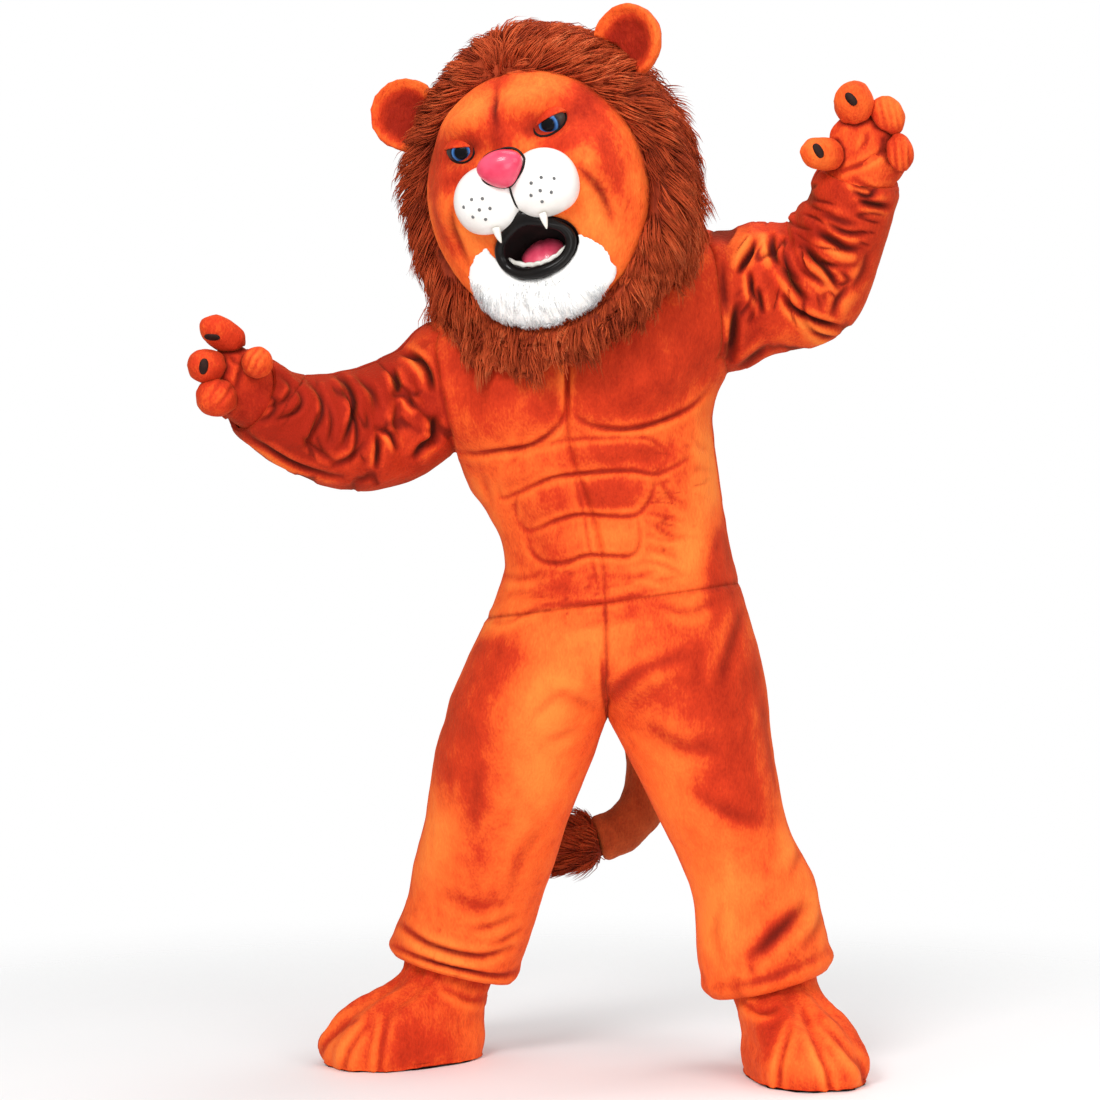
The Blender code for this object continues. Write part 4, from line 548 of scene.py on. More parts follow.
legFolds = [
    ([(748, 600), (733, 640), (720, 690)], 3.0, 6.0, 1.6),
    ([(760, 690), (770, 740), (778, 800)], 2.2, 5.0, 1.4),
    ([(640, 720), (680, 745), (720, 750)], 2.2, 8.0, 1.4),
    ([(690, 790), (735, 815), (775, 820)], 2.0, 8.0, 1.2),
    ([(792, 820), (800, 850), (788, 880)], 2.6, 5.0, 1.4),
    ([(745, 962), (775, 935), (810, 900)], 5.0, 7.5, 3.0),
    ([(722, 900), (716, 930), (722, 965)], 2.2, 5.0, 1.2),
    ([(826, 890), (818, 925), (800, 950)], 3.0, 5.0, 1.8),
    ([(710, 985), (750, 982), (800, 965), (832, 948)], 2.6, 4.5, 1.8),
    ([(530, 720), (552, 700), (575, 690)], 2.2, 6.0, 1.2),
    ([(545, 742), (560, 736), (580, 728)], 1.8, 4.0, 1.0),
    ([(480, 760), (475, 800), (470, 840)], 1.8, 8.0, 1.0),
    ([(545, 820), (520, 860), (505, 900)], 1.8, 7.0, 1.0),
    ([(440, 890), (475, 905), (520, 900)], 1.8, 7.0, 1.0),
    ([(395, 920), (430, 948), (480, 962), (515, 948)], 5.5, 4.0, 3.0),
    ([(392, 948), (430, 967), (493, 983), (522, 976)], 8.0, 3.0, 4.0),
    ([(660, 470), (680, 490), (704, 520)], 1.8, 4.0, 1.2),
    ([(470, 930), (495, 925), (520, 912)], 3.0, 4.0, 1.6),
    ([(486, 950), (505, 942), (522, 930)], 2.6, 3.0, 1.4),
]
sleeveFolds = [
    # the wearer's left sleeve
    ([(757, 238), (751, 250), (744, 262), (738, 275)], 9, 3.4, 3.0),
    ([(778, 262), (790, 278), (800, 292), (808, 302)], 13, 3.8, 3.5),
    ([(783, 292), (792, 308), (812, 320), (845, 329)], 9, 3.2, 3.5),
    ([(772, 232), (772, 250), (780, 268)], 5, 4.0, 3.0),
    ([(800, 241), (815, 258), (828, 272), (841, 291)], 6, 3.6, 3.0),
    ([(814, 230), (832, 240), (846, 248), (862, 250)], 6, 4.0, 3.0),
    ([(800, 268), (816, 278), (830, 288)], 3.5, 3.2, 2.0),
    ([(857, 200), (872, 204), (890, 207)], 6, 3.6, 2.5),
    ([(820, 212), (838, 220), (858, 226)], 3.5, 3.6, 2.0),
    ([(757, 285), (760, 300), (763, 316)], 5, 3.0, 2.5),
    ([(738, 300), (735, 325), (732, 362)], 9, 4.5, 2.0), ([(770, 345), (752, 358), (738, 368)], 4, 4.0, 2.0),
    ([(832, 318), (838, 300), (850, 285)], 4, 4.0, 2.0), ([(868, 250), (864, 270), (852, 290)], 3, 4.0, 1.6),
    ([(880, 186), (868, 196), (850, 190)], 5, 3.0, 2.4),
    ([(846, 176), (860, 186), (876, 190)], 4.5, 3.0, 2.4),
    ([(806, 250), (822, 262), (842, 268)], 5, 2.8, 2.4), ([(784, 250), (788, 268), (800, 282)], 5, 3.0, 2.6),
    ([(750, 270), (752, 292), (760, 306)], 5, 2.8, 2.4), ([(800, 318), (820, 334), (850, 340)], 4, 3.0, 2.4),
    ([(826, 222), (846, 232), (868, 234)], 4.5, 2.8, 2.2),
    ([(722, 260), (724, 290), (728, 320)], 3.5, 4.0, 1.6),
    # the wearer's right sleeve
    ([(400, 352), (416, 358), (428, 372), (433, 392)], 11, 3.4, 3.2),
    ([(391, 368), (396, 380), (398, 394)], 9, 3.2, 3.0),
    ([(330, 372), (345, 382), (354, 402), (350, 425), (343, 448)], 6.5, 3.0, 3.5),
    ([(306, 378), (320, 395), (322, 415), (310, 440)], 4.5, 3.0, 2.5),
    ([(356, 376), (372, 392), (378, 412)], 4.0, 3.4, 2.2),
    ([(377, 432), (378, 450), (376, 470)], 5.5, 2.8, 2.5),
    ([(290, 384), (302, 398), (296, 412), (270, 420)], 4.0, 2.8, 2.2),
    ([(278, 372), (290, 388), (282, 402), (262, 408)], 3.5, 2.8, 2.0),
    ([(318, 412), (312, 432), (304, 450)], 4.0, 2.8, 2.2),
    ([(366, 440), (352, 456), (330, 466)], 4.0, 3.2, 2.4),
    ([(434, 415), (436, 430), (434, 446)], 9, 4.0, 2.0),
    ([(413, 460), (422, 447), (441, 436)], 7, 3.6, 2.0),
    ([(337, 377), (352, 408), (357, 440), (347, 466)], 4.5, 2.8, 2.6),
    ([(373, 427), (390, 434), (398, 452)], 5, 2.8, 2.6),
    ([(404, 392), (412, 404), (420, 408)], 4.5, 3.0, 2.4),
    ([(262, 388), (276, 402), (270, 416), (256, 424)], 4, 2.6, 2.2),
    ([(326, 400), (332, 422), (328, 446)], 3.5, 2.4, 2.2),
    ([(300, 436), (320, 452), (336, 462)], 3.5, 2.6, 2.0),
    ([(240, 428), (287, 460), (323, 473), (345, 477)], 4.5, 2.6, 3.0),
    ([(400, 400), (396, 420), (398, 440)], 3.0, 3.6, 1.6),
]
# Like folds on the hidden side, in the same pixels seen through the costume
backFolds = [
    ([(566, 330), (572, 420), (590, 520), (600, 600)], 3.5, 2.6, 1.2),
    ([(480, 400), (510, 420), (540, 425)], 4, 6, 2.0), ([(600, 415), (640, 405), (690, 385)], 4, 6, 2.0),
    ([(500, 560), (540, 575), (590, 572)], 5, 6, 2.6), ([(600, 585), (640, 575), (680, 560)], 5, 6, 2.6),
    ([(500, 590), (550, 600), (600, 602)], 3.5, 5, 2.0), ([(600, 640), (603, 690), (606, 720)], 4, 3.5, 1.5),
    ([(610, 715), (650, 690), (700, 680)], 5, 6, 2.6), ([(600, 720), (560, 705), (510, 700)], 5, 6, 2.6),
    ([(500, 760), (530, 775), (570, 765)], 3, 7, 1.8), ([(650, 760), (700, 770), (740, 755)], 3, 7, 1.8),
    ([(440, 860), (480, 875), (530, 862)], 5, 6, 2.6), ([(720, 850), (760, 860), (800, 840)], 5, 6, 2.6),
    ([(400, 930), (450, 945), (510, 930)], 4, 5, 2.2), ([(710, 960), (760, 965), (820, 940)], 4, 5, 2.2),
    ([(757, 240), (750, 262), (745, 285)], 6, 4, 2.6), ([(785, 240), (795, 270), (800, 300)], 7, 4, 3.0),
    ([(820, 225), (835, 260), (838, 300)], 6, 4, 2.6), ([(850, 200), (868, 225), (880, 245)], 5, 4, 2.2),
    ([(770, 320), (800, 335), (830, 330)], 5, 4, 2.2), ([(400, 350), (410, 390), (412, 430)], 7, 4, 3.0),
    ([(370, 375), (378, 410), (372, 455)], 6, 4, 2.6), ([(335, 380), (344, 415), (335, 450)], 5, 4, 2.4),
    ([(305, 385), (310, 410), (296, 435)], 4, 4, 2.0),
]

# Bright (up to 1) and red (down to -1) patches of pile, partly where it lies flat or is stroked up and partly
# painted light and shade: centre and reach in pixels, tone
frontNapAndPaintedLight = [
    (520, 438, 40, 14, 0.25), (500, 385, 40, 34, -0.35), (545, 410, 20, 20, -0.25), (640, 380, 60, 35, -0.45),
    (600, 340, 40, 25, -0.4), (470, 350, 30, 40, -0.2), (700, 330, 40, 50, -0.35), (660, 430, 40, 10, 0.25),
    (715, 470, 22, 70, 0.95), (692, 555, 18, 50, 0.6), (625, 455, 40, 14, -0.45), (610, 495, 26, 18, -0.6),
    (610, 535, 26, 16, 0.5), (550, 470, 40, 14, 0.1), (490, 560, 30, 50, 0.4), (480, 625, 36, 22, 0.6),
    (722, 572, 15, 56, -1.0), (530, 585, 60, 16, -0.1), (490, 655, 50, 30, -0.75), (560, 660, 45, 40, 0.5),
    (640, 640, 45, 30, 0.2), (700, 680, 55, 45, -0.75), (735, 760, 40, 60, -0.9), (620, 690, 30, 20, -0.4),
    (670, 790, 30, 60, 0.5), (800, 800, 22, 70, 0.6), (450, 740, 30, 50, -0.8), (470, 800, 30, 60, -0.2),
    (540, 760, 40, 90, 0.6), (430, 840, 26, 60, 0.7), (500, 880, 40, 70, 0.05), (470, 950, 60, 20, 0.3),
    (720, 900, 40, 70, 0.75), (780, 900, 30, 40, 0.1), (775, 940, 26, 30, -0.7), (820, 900, 20, 50, 0.5),
    (560, 395, 30, 40, 0.1), (700, 400, 25, 20, 0.1), (655, 560, 30, 25, 0.3), (600, 605, 60, 10, -0.3),
]
sleeveNapAndPaintedLight = [
    (745, 330, 20, 40, -0.6), (800, 340, 40, 20, 0.35), (850, 320, 30, 30, 0.0), (790, 260, 30, 40, -0.4),
    (830, 230, 40, 40, -0.35), (870, 190, 30, 30, -0.2), (740, 235, 30, 18, 0.4), (850, 280, 26, 30, 0.1),
    (330, 420, 50, 40, -0.7), (400, 430, 30, 40, 0.25), (380, 390, 30, 30, -0.35), (290, 400, 30, 30, -0.4),
    (420, 340, 30, 20, 0.5), (300, 455, 60, 12, 0.2), (420, 400, 20, 40, -0.2),
]


def outerSheet(obj, forward, others):
    # keeps the outside of a panel's wall: all that is reached from its farthest face without crossing a rim,
    # where a rim lies against the next panel or turns sharply at an opening
    with edited(obj.data) as form:
        bmesh.ops.remove_doubles(form, verts=form.verts, dist=weld)
        form.normal_update()
        rims = set()
        for face in form.faces:
            near = others.find_nearest(face.calc_center_median(), suit["rimGap"])
            if near[0] is not None and face.normal.dot(near[1]) < suit["rimFacing"]:
                rims.add(face)
        faces = sorted(form.faces, key=lambda f: f.calc_center_median().y * forward)
        level = suit["firstFacing"]
        first = next(f for f in reversed(faces) if f.normal.y * forward > level and f not in rims)
        kept, edge = {first}, [first]
        while edge:
            face = edge.pop()
            for other in {other for side in face.edges for other in side.link_faces} - kept - rims:
                if face.normal.angle(other.normal) < math.radians(suit["rimTurn"]):
                    kept.add(other)
                    edge.append(other)
        bmesh.ops.delete(form, geom=[f for f in form.faces if f not in kept], context="FACES")


def makeSuit():
    # the outsides of all the panels, sewn into one surface whose faces carry their panel's number
    sheets = []
    for number, panel in enumerate(suit["panels"]):
        sheet = linked("sheet" + str(number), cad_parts[panel].data.copy())
        others = treeOf([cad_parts[other].data for other in suit["panels"] if other != panel])
        outerSheet(sheet, -1 if "front" in panel else 1, others)
        sheet.data.materials.clear()
        sheet.data.materials.append(bpy.data.materials.new("panel" + str(number)))
        sheets.append(sheet)
    selectOnly(*sheets)
    bpy.ops.object.join()
    whole = sewn(sheets[0], suit["sewGap"], suit["pairAngle"], materials=True)
    slots = [int(m.name.removeprefix("panel")) for m in whole.data.materials]
    for face in whole.data.polygons:
        face.material_index = slots[face.material_index]
    return whole


# How the front and back of the suit are folded; heights and widths in metres where nothing else is said
folding = {
    "faced": (0.02, 0.35),  # how squarely a place faces the camera where folds begin to show, and show fully
    # each part's share of the heights, the painted shade and the brims' painted highlight that its table
    # gives
    "front": (1.0, 0.75, 1.0), "legs": (1.0, 1.0, 1.0), "sleeves": (1.6, 1.35, 1.5), "back": (1.0, 1.0, 1.0),
    # fine creases: those deeper than this are the sleeves'; how far they reach from their axis in pixels
    "sleeveCrease": 0.002, "sleeveReach": 75, "reach": 45, "fullReach": 15, "creaseBrim": 0.3,
    # seams: the cloth beside them stands up a little and their grooves get painted shade; the muscle top's
    # lie flatter, with paler painted shade
    "topSeam": 0.8, "seamBrim": (0.0008, 0.011, 0.005), "seamDark": 0.50, "topDark": 0.30, "topEnd": -0.60,
    "sag": [(0.0016, 0.075, 1), (0.0007, 0.022, 2)],  # soft unevenness: height, size and seed
    # hems are turned in, and the cloth bags over them
    "hem": (0.0030, 0.006), "bagPlace": 0.024, "bagWidth": 0.015, "legBag": 0.0065, "sleeveBag": 0.0025,
    "bagNoise": (0.4, 0.05, 6), "knee": -1.0,
    # the wearer's right trouser leg rides a little higher on its boot
    "ride": 0.016, "rideFrom": 1.16, "rideTo": 1.30,
    # the lie of the pile: tones of the top and the legs, and the reddest of all but sleeves; the two sleeves
    # are darker with painted shade, the wearer's right one most
    "topNap": -0.07, "rightSleeveShade": -0.66, "leftSleeveShade": -0.35, "legNap": 0.01, "reddest": -0.40,
    # how much the folds' brims are brightened: painted highlight
    "brimHighlightTone": 0.75,
    # the back takes the front's patches of pile and painted light and shade, mirrored about the middle of the
    # body and paler
    "mirror": 1180, "mirrorDrop": 14, "backNapAndPaintedLight": 0.7,
    "innerSteps": 6,  # the inside of the wall follows the lowest of the outside within so many edges
}


def panelOfPoints(mesh):
    # which panels each point belongs to, from the numbers of its faces
    owner = np.zeros((len(mesh.vertices), len(suit["panels"])), bool)
    numbers = wholeNumbers(mesh.polygons, "material_index")
    ofCorners = np.repeat(numbers, wholeNumbers(mesh.polygons, "loop_total"))
    owner[wholeNumbers(mesh.loops, "vertex_index"), ofCorners] = True
    return owner


def openEdge(mesh):
    # the points along a surface's open edges
    used = np.bincount(wholeNumbers(mesh.loops, "edge_index"), minlength=len(mesh.edges))
    return np.unique(wholeNumbers(mesh.edges, "vertices", 2).reshape(-1, 2)[used == 1])


def lowestNear(mesh, values, steps):
    # the lowest value within a few edges of each point
    first, second = wholeNumbers(mesh.edges, "vertices", 2).reshape(-1, 2).T
    lowest = values.copy()
    for _ in range(steps):
        spread = lowest.copy()
        np.minimum.at(spread, first, lowest[second])
        np.minimum.at(spread, second, lowest[first])
        lowest = spread
    return lowest


def gapTo(points, targets):
    tree = nearestOf(targets)
    return np.array([tree.find(p)[2] for p in points])


def suitNap(points, spots, onTop, onSleeve, front, back):
    # the lie of the pile with its painted light and shade, before the folds' brims get their painted
    # highlight
    # painted shade: the sleeves are darker, the wearer's right one most
    sleeve = np.where(points[:, 0] < 0, folding["rightSleeveShade"], folding["leftSleeveShade"])
    nap = np.where(onTop, folding["topNap"], np.where(onSleeve, sleeve, folding["legNap"]))
    nap += front * np.where(onSleeve, blobsOver(spots, sleeveNapAndPaintedLight), blobsOver(spots, frontNapAndPaintedLight))
    flipped = np.column_stack([folding["mirror"] - spots[:, 0], spots[:, 1] + folding["mirrorDrop"]])
    nap += back * folding["backNapAndPaintedLight"] * np.where(onSleeve, 0, blobsOver(flipped, frontNapAndPaintedLight))
    return np.where(onSleeve, nap, np.maximum(nap, folding["reddest"]))


def foldSuit(obj):
    # seams, quilting, folds, the lie of the pile and painted light and shade, over the whole suit at once;
    # gives the wall's inside
    mesh = obj.data
    points, normals = pointsOf(obj), normalsOf(obj)
    owner = panelOfPoints(mesh)
    names = suit["panels"]
    onTop = owner[:, [n.startswith("top") for n in names]].any(1)
    onSleeve = owner[:, [n.startswith("sleeve") for n in names]].any(1) & ~onTop
    onLeg = owner[:, [n.startswith("leg") for n in names]].any(1) & ~onTop
    spots = toPhoto(points)
    view = points - viewPoint
    facing = -(normals * view).sum(1) / np.linalg.norm(view, axis=1)
    front, back = softStep(facing, *folding["faced"]), softStep(-facing, *folding["faced"])
    rise, hollow, crestHighlight = np.zeros(len(points)), np.zeros(len(points)), np.zeros(len(points))
    for part, table, where, weight in (("front", frontFolds, onTop | onLeg, front),
                                       ("legs", legFolds, onLeg, front),
                                       ("sleeves", sleeveFolds, onSleeve, front),
                                       ("back", backFolds, True, back)):
        chosen = np.nonzero(where & (weight > 0))[0]
        up, deep, high = foldsOver(spots[chosen], table)
        raised, darkened, brightened = folding[part]
        rise[chosen] += up * raised * weight[chosen]
        # painted shade in the troughs and painted highlight on the brims
        hollow[chosen] = np.maximum(hollow[chosen], np.minimum(deep * darkened, 1) * weight[chosen])
        crestHighlight[chosen] = np.maximum(crestHighlight[chosen], high * brightened * weight[chosen])
    for axis, spacing, depth, dark, seed in suit["crinkles"]:
        away = nearLine(spots, smoothLine(axis, 40))[0]
        sleeves = depth > folding["sleeveCrease"]
        near = away < folding["sleeveReach" if sleeves else "reach"]
        chosen = np.nonzero(near & (onSleeve == sleeves))[0]
        crease = crinkles(spots[chosen], axis, spacing, seed)
        if not sleeves:
            crease *= 1 - softStep(away[chosen], folding["fullReach"], folding["reach"])
        rise[chosen] += depth * (folding["creaseBrim"] - crease)
        # painted shade in the fine creases
        hollow[chosen] = np.maximum(hollow[chosen], dark * crease)
    gap = gapTo(points, points[owner.sum(1) > 1])
    groove = bell(gap, suit["seamWidth"])
    rise -= suit["seamDepth"] * groove * np.where(onTop, folding["topSeam"], 1.0)
    height, place, width = folding["seamBrim"]
    rise += height * bell(gap - place, width)
    # painted shade in the seam grooves, paler on the muscle top's chest
    chest = onTop & (points[:, 2] > folding["topEnd"])
    hollow = np.maximum(hollow, np.where(chest, folding["topDark"], folding["seamDark"]) * groove)
    rise += sum(height * wobble(points, size, seed) for height, size, seed in folding["sag"])
    hem = gapTo(points, points[openEdge(mesh)])
    bag = np.where(onSleeve, folding["sleeveBag"], 0.0)
    bag = np.where(onLeg & (points[:, 2] < folding["knee"]), folding["legBag"], bag)
    share, size, seed = folding["bagNoise"]
    bag = bag * bell(hem - folding["bagPlace"], folding["bagWidth"])
    rise += bag * (1 + share * wobble(points, size, seed))
    depth, width = folding["hem"]
    rise -= depth * bell(hem, width)
    ride = folding["ride"] * softStep(-points[:, 2], folding["rideFrom"], folding["rideTo"])
    points[:, 2] += ride * (onLeg & (points[:, 0] < 0))
    movePoints(obj, points + normals * rise[:, None])
    # the pile's tone with its painted light and shade, and painted highlight on the folds' brims
    mark(obj, "nap", suitNap(points, spots, onTop, onSleeve, front, back) + folding["brimHighlightTone"] * crestHighlight)
    mark(obj, "hollow", hollow)
    return points + normals * (lowestNear(mesh, rise, folding["innerSteps"]) - suit["wall"])[:, None]


def edgePaths(polygons, chosen):
    # directed edges of the chosen faces that no other chosen face runs back along
    ahead = {}
    for index in chosen:
        corners = polygons[index]
        ahead.update(dict.fromkeys(zip(corners, corners[1:] + corners[:1])))
    return {a: b for a, b in ahead if (b, a) not in ahead}


def cutPanels(fine, coarse, inner, finish):
    # each panel becomes a closed shell: the fine surface outside, a coarser one inside and a rim between
    mesh = fine.data
    points = pointsOf(fine)
    numbers = wholeNumbers(mesh.polygons, "material_index")
    polygons = [list(p.vertices) for p in mesh.polygons]
    twin = nearestOf(coarse["finePoints"])
    partner = [twin.find(p)[1] for p in coarse["points"]]
    values = {name: np.zeros(len(points)) for name in ("nap", "hollow")}
    for name, found in values.items():
        mesh.attributes[name].data.foreach_get("value", found)
    pieces = []
    for number, panel in enumerate(suit["panels"]):
        chosen = np.nonzero(numbers == number)[0]
        inside = [face for face, owner in zip(coarse["polygons"], coarse["numbers"]) if owner == number]
        used = sorted({v for index in chosen for v in polygons[index]})
        usedInside = sorted({v for face in inside for v in face})
        outerAt = {v: k for k, v in enumerate(used)}
        innerAt = {v: len(used) + k for k, v in enumerate(usedInside)}
        sources = used + [partner[v] for v in usedInside]
        spots = points[sources].copy()
        spots[len(used):] = inner[sources[len(used):]]
        faces = [[outerAt[v] for v in polygons[index]] for index in chosen]
        faces += [[innerAt[v] for v in reversed(face)] for face in inside]
        rimStart = len(faces)
        onward = edgePaths(polygons, chosen)
        for a, b in edgePaths(inside, range(len(inside))).items():
            path = [partner[a]]
            while path[-1] != partner[b]:
                path.append(onward[path[-1]])
            faces.append([outerAt[v] for v in reversed(path)] + [innerAt[a], innerAt[b]])
        made = bpy.data.meshes.new("dressed_" + panel)
        made.from_pydata(spots.tolist(), [], faces)
        made.validate()
        made.update()
        piece = linked("dressed_" + panel, made)
        made.polygons.foreach_set("use_smooth", np.arange(len(made.polygons)) < rimStart)
        for name, found in values.items():
            mark(piece, name, found[sources])
        made.materials.append(finish)
        pieces.append(piece)
    return pieces


def dressSuit():
    whole = makeSuit()
    cage = linked("cage", whole.data.copy())
    refined(cage, 1)
    refined(whole, suit["levels"])
    coarse = {"points": pointsOf(cage), "finePoints": pointsOf(whole),
              "polygons": [list(p.vertices) for p in cage.data.polygons],
              "numbers": [p.material_index for p in cage.data.polygons]}
    inner = foldSuit(whole)
    pieces = cutPanels(whole, coarse, inner, plushFinish("plush", plush))
    dressed = dict(zip(suit["panels"], pieces))
    hungFrom = {"sleeve": "top_front_", "leg": "top_front_", "top": "top_back_"}
    for panel, piece in dressed.items():
        declared(piece, "orange_plush", panel)
        upper = hungFrom[panel.split("_")[0]] + panel.split("_")[-1]
        carriers = [dressed[upper]] if upper != panel else []
    bpy.data.objects.remove(whole)
    bpy.data.objects.remove(cage)
    print("suit dressed")


# The head's own frame: -Y is where the face looks, and its origin sits in the head's middle
headTurn = (Matrix.Translation((-0.047, -0.102, 0.145)) @ Matrix.Rotation(math.radians(-15), 4, "Y")
            @ Matrix.Rotation(math.radians(-20), 4, "Z") @ Matrix.Rotation(math.radians(8), 4, "X"))
headBack = headTurn.inverted()
headMiddle = np.array(headTurn.translation)
turnAlone = np.array(headTurn.to_3x3())


def turned(points, matrix):
    found = np.array(matrix)
    return points @ found[:3, :3].T + found[:3, 3]


def headWay(x, y, z):
    # a direction of the head's frame, in the world
    return headTurn.to_3x3() @ Vector((x, y, z))


def inHead(obj):
    return turned(pointsOf(obj), headBack)


def fromHead(obj, points):
    movePoints(obj, turned(points, headTurn))


def mirrored(rows):
    # rows that start with a place in the head's frame; those off the middle are given on both sides
    for place, *rest in rows:
        for side in (-1, 1) if place[0] else (1,):
            yield np.array((side * place[0], *place[1:])), *rest


head = {
    # soft hills and hollows of both sides of the face: place in the head's frame, reach in x, y and z, height
    "relief": [((0.0, -0.19, 0.095), (0.020, 0.2, 0.040), 0.013),
               ((0.055, -0.19, 0.138), (0.044, 0.2, 0.018), 0.021),
               ((0.080, -0.19, 0.098), (0.040, 0.2, 0.020), -0.009),
               ((0.0, -0.19, 0.150), (0.006, 0.2, 0.035), -0.008),
               ((0.122, -0.14, 0.01), (0.034, 0.2, 0.045), 0.016),
               ((0.090, -0.17, 0.066), (0.040, 0.2, 0.009), 0.006)],
    # the hollows get painted shade this dark; soft unevenness: height, size and seed
    "hollowDark": 0.9, "unevenness": (0.0012, 0.05, 5),
    # patches of the face, partly the lie of its pile and partly painted light and shade: place across and up,
    # reach, tone
    "nap": [(0.0, 0.110, 0.024, 0.050, -1.0), (0.140, 0.115, 0.034, 0.050, -1.0),
            (0.050, 0.104, 0.020, 0.020, -0.6), (0.095, 0.055, 0.050, 0.018, -0.9),
            (0.160, 0.0, 0.018, 0.075, -0.8), (0.055, 0.160, 0.045, 0.022, 0.25),
            (0.115, -0.050, 0.030, 0.060, 0.25), (0.0, 0.190, 0.120, 0.012, -0.5)],
    "napTone": 0.36, "inFront": -0.6,  # a place well in front of the face
    # the edge of the plush runs on under the hood's pile, from this share of the way out
    "rim": 0.0065, "rimFrom": 0.92, "rimTo": 0.99, "rimSectors": 48,
    # each cheek's fold: its line, depth, width and taper, and the darkness of its painted shade
    "cheekFold": {"start": (0.105, 0.03), "end": (0.135, -0.10), "bow": 0.012, "bowHeight": -0.03,
                  "depth": 0.006, "width": 0.008, "taper": 0.6, "dark": 0.8},
}


def cheekDip(flat, side):
    # how deep each spot of the face lies in the fold of one cheek
    fold = head["cheekFold"]
    (startX, startZ), (endX, endZ) = fold["start"], fold["end"]
    bow = side * (startX + endX) / 2 + side * fold["bow"]
    line = smoothLine([(side * startX, startZ), (bow, fold["bowHeight"]), (side * endX, endZ)])
    gap, _, along = nearLine(flat, line)
    return bell(gap, fold["width"]) * np.sin(np.pi * along) ** fold["taper"]


def shapeFace():
    face = refined(copied("face", "dressedFace"), 2)
    points, normals = inHead(face), normalsOf(face)
    shellOut = (normals * (pointsOf(face) - headMiddle)).sum(1) > 0
    fore = points[:, 1] < 0
    rise, hollow = np.zeros(len(points)), np.zeros(len(points))
    for place, reach, height in mirrored(head["relief"]):
        hill = np.exp(-(((points - place) / np.array(reach)) ** 2).sum(1)) * fore
        rise += height * hill
        # the hollows get painted shade
        if height < 0:
            hollow = np.maximum(hollow, head["hollowDark"] * hill)
    for side in (-1, 1):
        dip = cheekDip(points[:, [0, 2]], side) * fore
        rise -= head["cheekFold"]["depth"] * dip
        # painted shade in the fold of each cheek
        hollow = np.maximum(hollow, dip * head["cheekFold"]["dark"])
    height, size, seed = head["unevenness"]
    rise += height * wobble(points, size, seed)
    count = head["rimSectors"]
    sector = ((np.arctan2(points[:, 2], points[:, 0]) + math.pi) / (2 * math.pi) * count).astype(int) % count
    radius = np.hypot(points[:, 0], points[:, 2])
    reach = np.array([radius[sector == k].max() for k in range(count)])
    outward = points * np.array([1, 0, 1]) / radius[:, None]
    spread = head["rim"] * softStep(radius / reach[sector], head["rimFrom"], head["rimTo"])
    placed = pointsOf(face) + normals * (rise * shellOut)[:, None]
    movePoints(face, placed + (spread[:, None] * outward) @ turnAlone.T)
    nap = np.full(len(points), head["napTone"])
    for x, z, wide, high, value in head["nap"]:
        nap += value * np.exp(-((np.abs(points[:, 0]) - x) / wide) ** 2 - ((points[:, 2] - z) / high) ** 2)
    mark(face, "nap", nap)
    mark(face, "hollow", hollow)
    face.data.materials.append(plushFinish("facePlush", dict(plush, patchSize=0.06)))
    print("face shaped")
    return declared(face, "orange_plush", "face")


def ball(name, centre, radii, lean=0.0, segments=48, rings=32):
    # an ellipsoid given in the head's frame
    bpy.ops.mesh.primitive_uv_sphere_add(segments=segments, ring_count=rings, radius=1)
    made = bpy.context.object
    made.name = name
    sine, cosine = math.sin(math.radians(lean)), math.cos(math.radians(lean))
    turn = np.array([[cosine, 0, sine], [0, 1, 0], [-sine, 0, cosine]])
    movePoints(made, turned(pointsOf(made) * np.array(radii) @ turn.T + np.array(centre), headTurn))
    return smoothShaded(made)


def dressed(node, slot, finish, levels=2, crease=None):
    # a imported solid, rounded and given its finish
    piece = copied(node, "dressed_" + node)
    if crease:
        creased(piece, crease)
    refined(piece, levels)
    piece.data.materials.append(finish)
    return declared(piece, slot, node)


# Painted lines stand up as thin cords: where their ends start to thin, how fast, and to what share
cord = {"sides": 8, "end": 0.03, "swell": 2.2, "least": 0.15}


def tube(name, line, radius, closed=False):
    # a thin round cord along points, tapered at its ends unless it closes on itself
    line = np.array(line, float)
    count, sides = len(line), cord["sides"]
    ahead = np.roll(line, -1, 0) - np.roll(line, 1, 0)
    if not closed:
        ahead[0], ahead[-1] = line[1] - line[0], line[-1] - line[-2]
    ahead /= np.linalg.norm(ahead, axis=1)[:, None]
    across = np.cross(ahead, np.array([0.11, 1.0, 0.07]))  # a way that no line here runs along
    across /= np.linalg.norm(across, axis=1)[:, None]
    lift = np.cross(across, ahead)
    size = np.full(count, radius)
    if not closed:
        along = np.linspace(cord["end"], 1 - cord["end"], count)
        size *= np.clip(np.sin(np.pi * along) * cord["swell"], cord["least"], 1)
    angle = np.linspace(0, 2 * math.pi, sides, endpoint=False)[None, :, None]
    hoop = np.cos(angle) * across[:, None] + np.sin(angle) * lift[:, None]
    rings = line[:, None] + size[:, None, None] * hoop
    faces = []
    for i in range(count if closed else count - 1):
        here, there = i * sides, (i + 1) % count * sides
        pairs = [(k, (k + 1) % sides) for k in range(sides)]
        faces += [(here + k, there + k, there + m, here + m) for k, m in pairs]
    if not closed:
        faces += [tuple(range(sides)), tuple(reversed(range((count - 1) * sides, count * sides)))]
    made = bpy.data.meshes.new(name)
    made.from_pydata(rings.reshape(-1, 3).tolist(), [], faces)
    with edited(made) as form:
        bmesh.ops.recalc_face_normals(form, faces=form.faces)
    return smoothShaded(linked(name, made))


def joined(name, objects, finish):
    selectOnly(*objects)
    bpy.ops.object.join()
    obj = objects[0]
    obj.name = name
    obj.data.materials.clear()
    obj.data.materials.append(finish)
    return obj


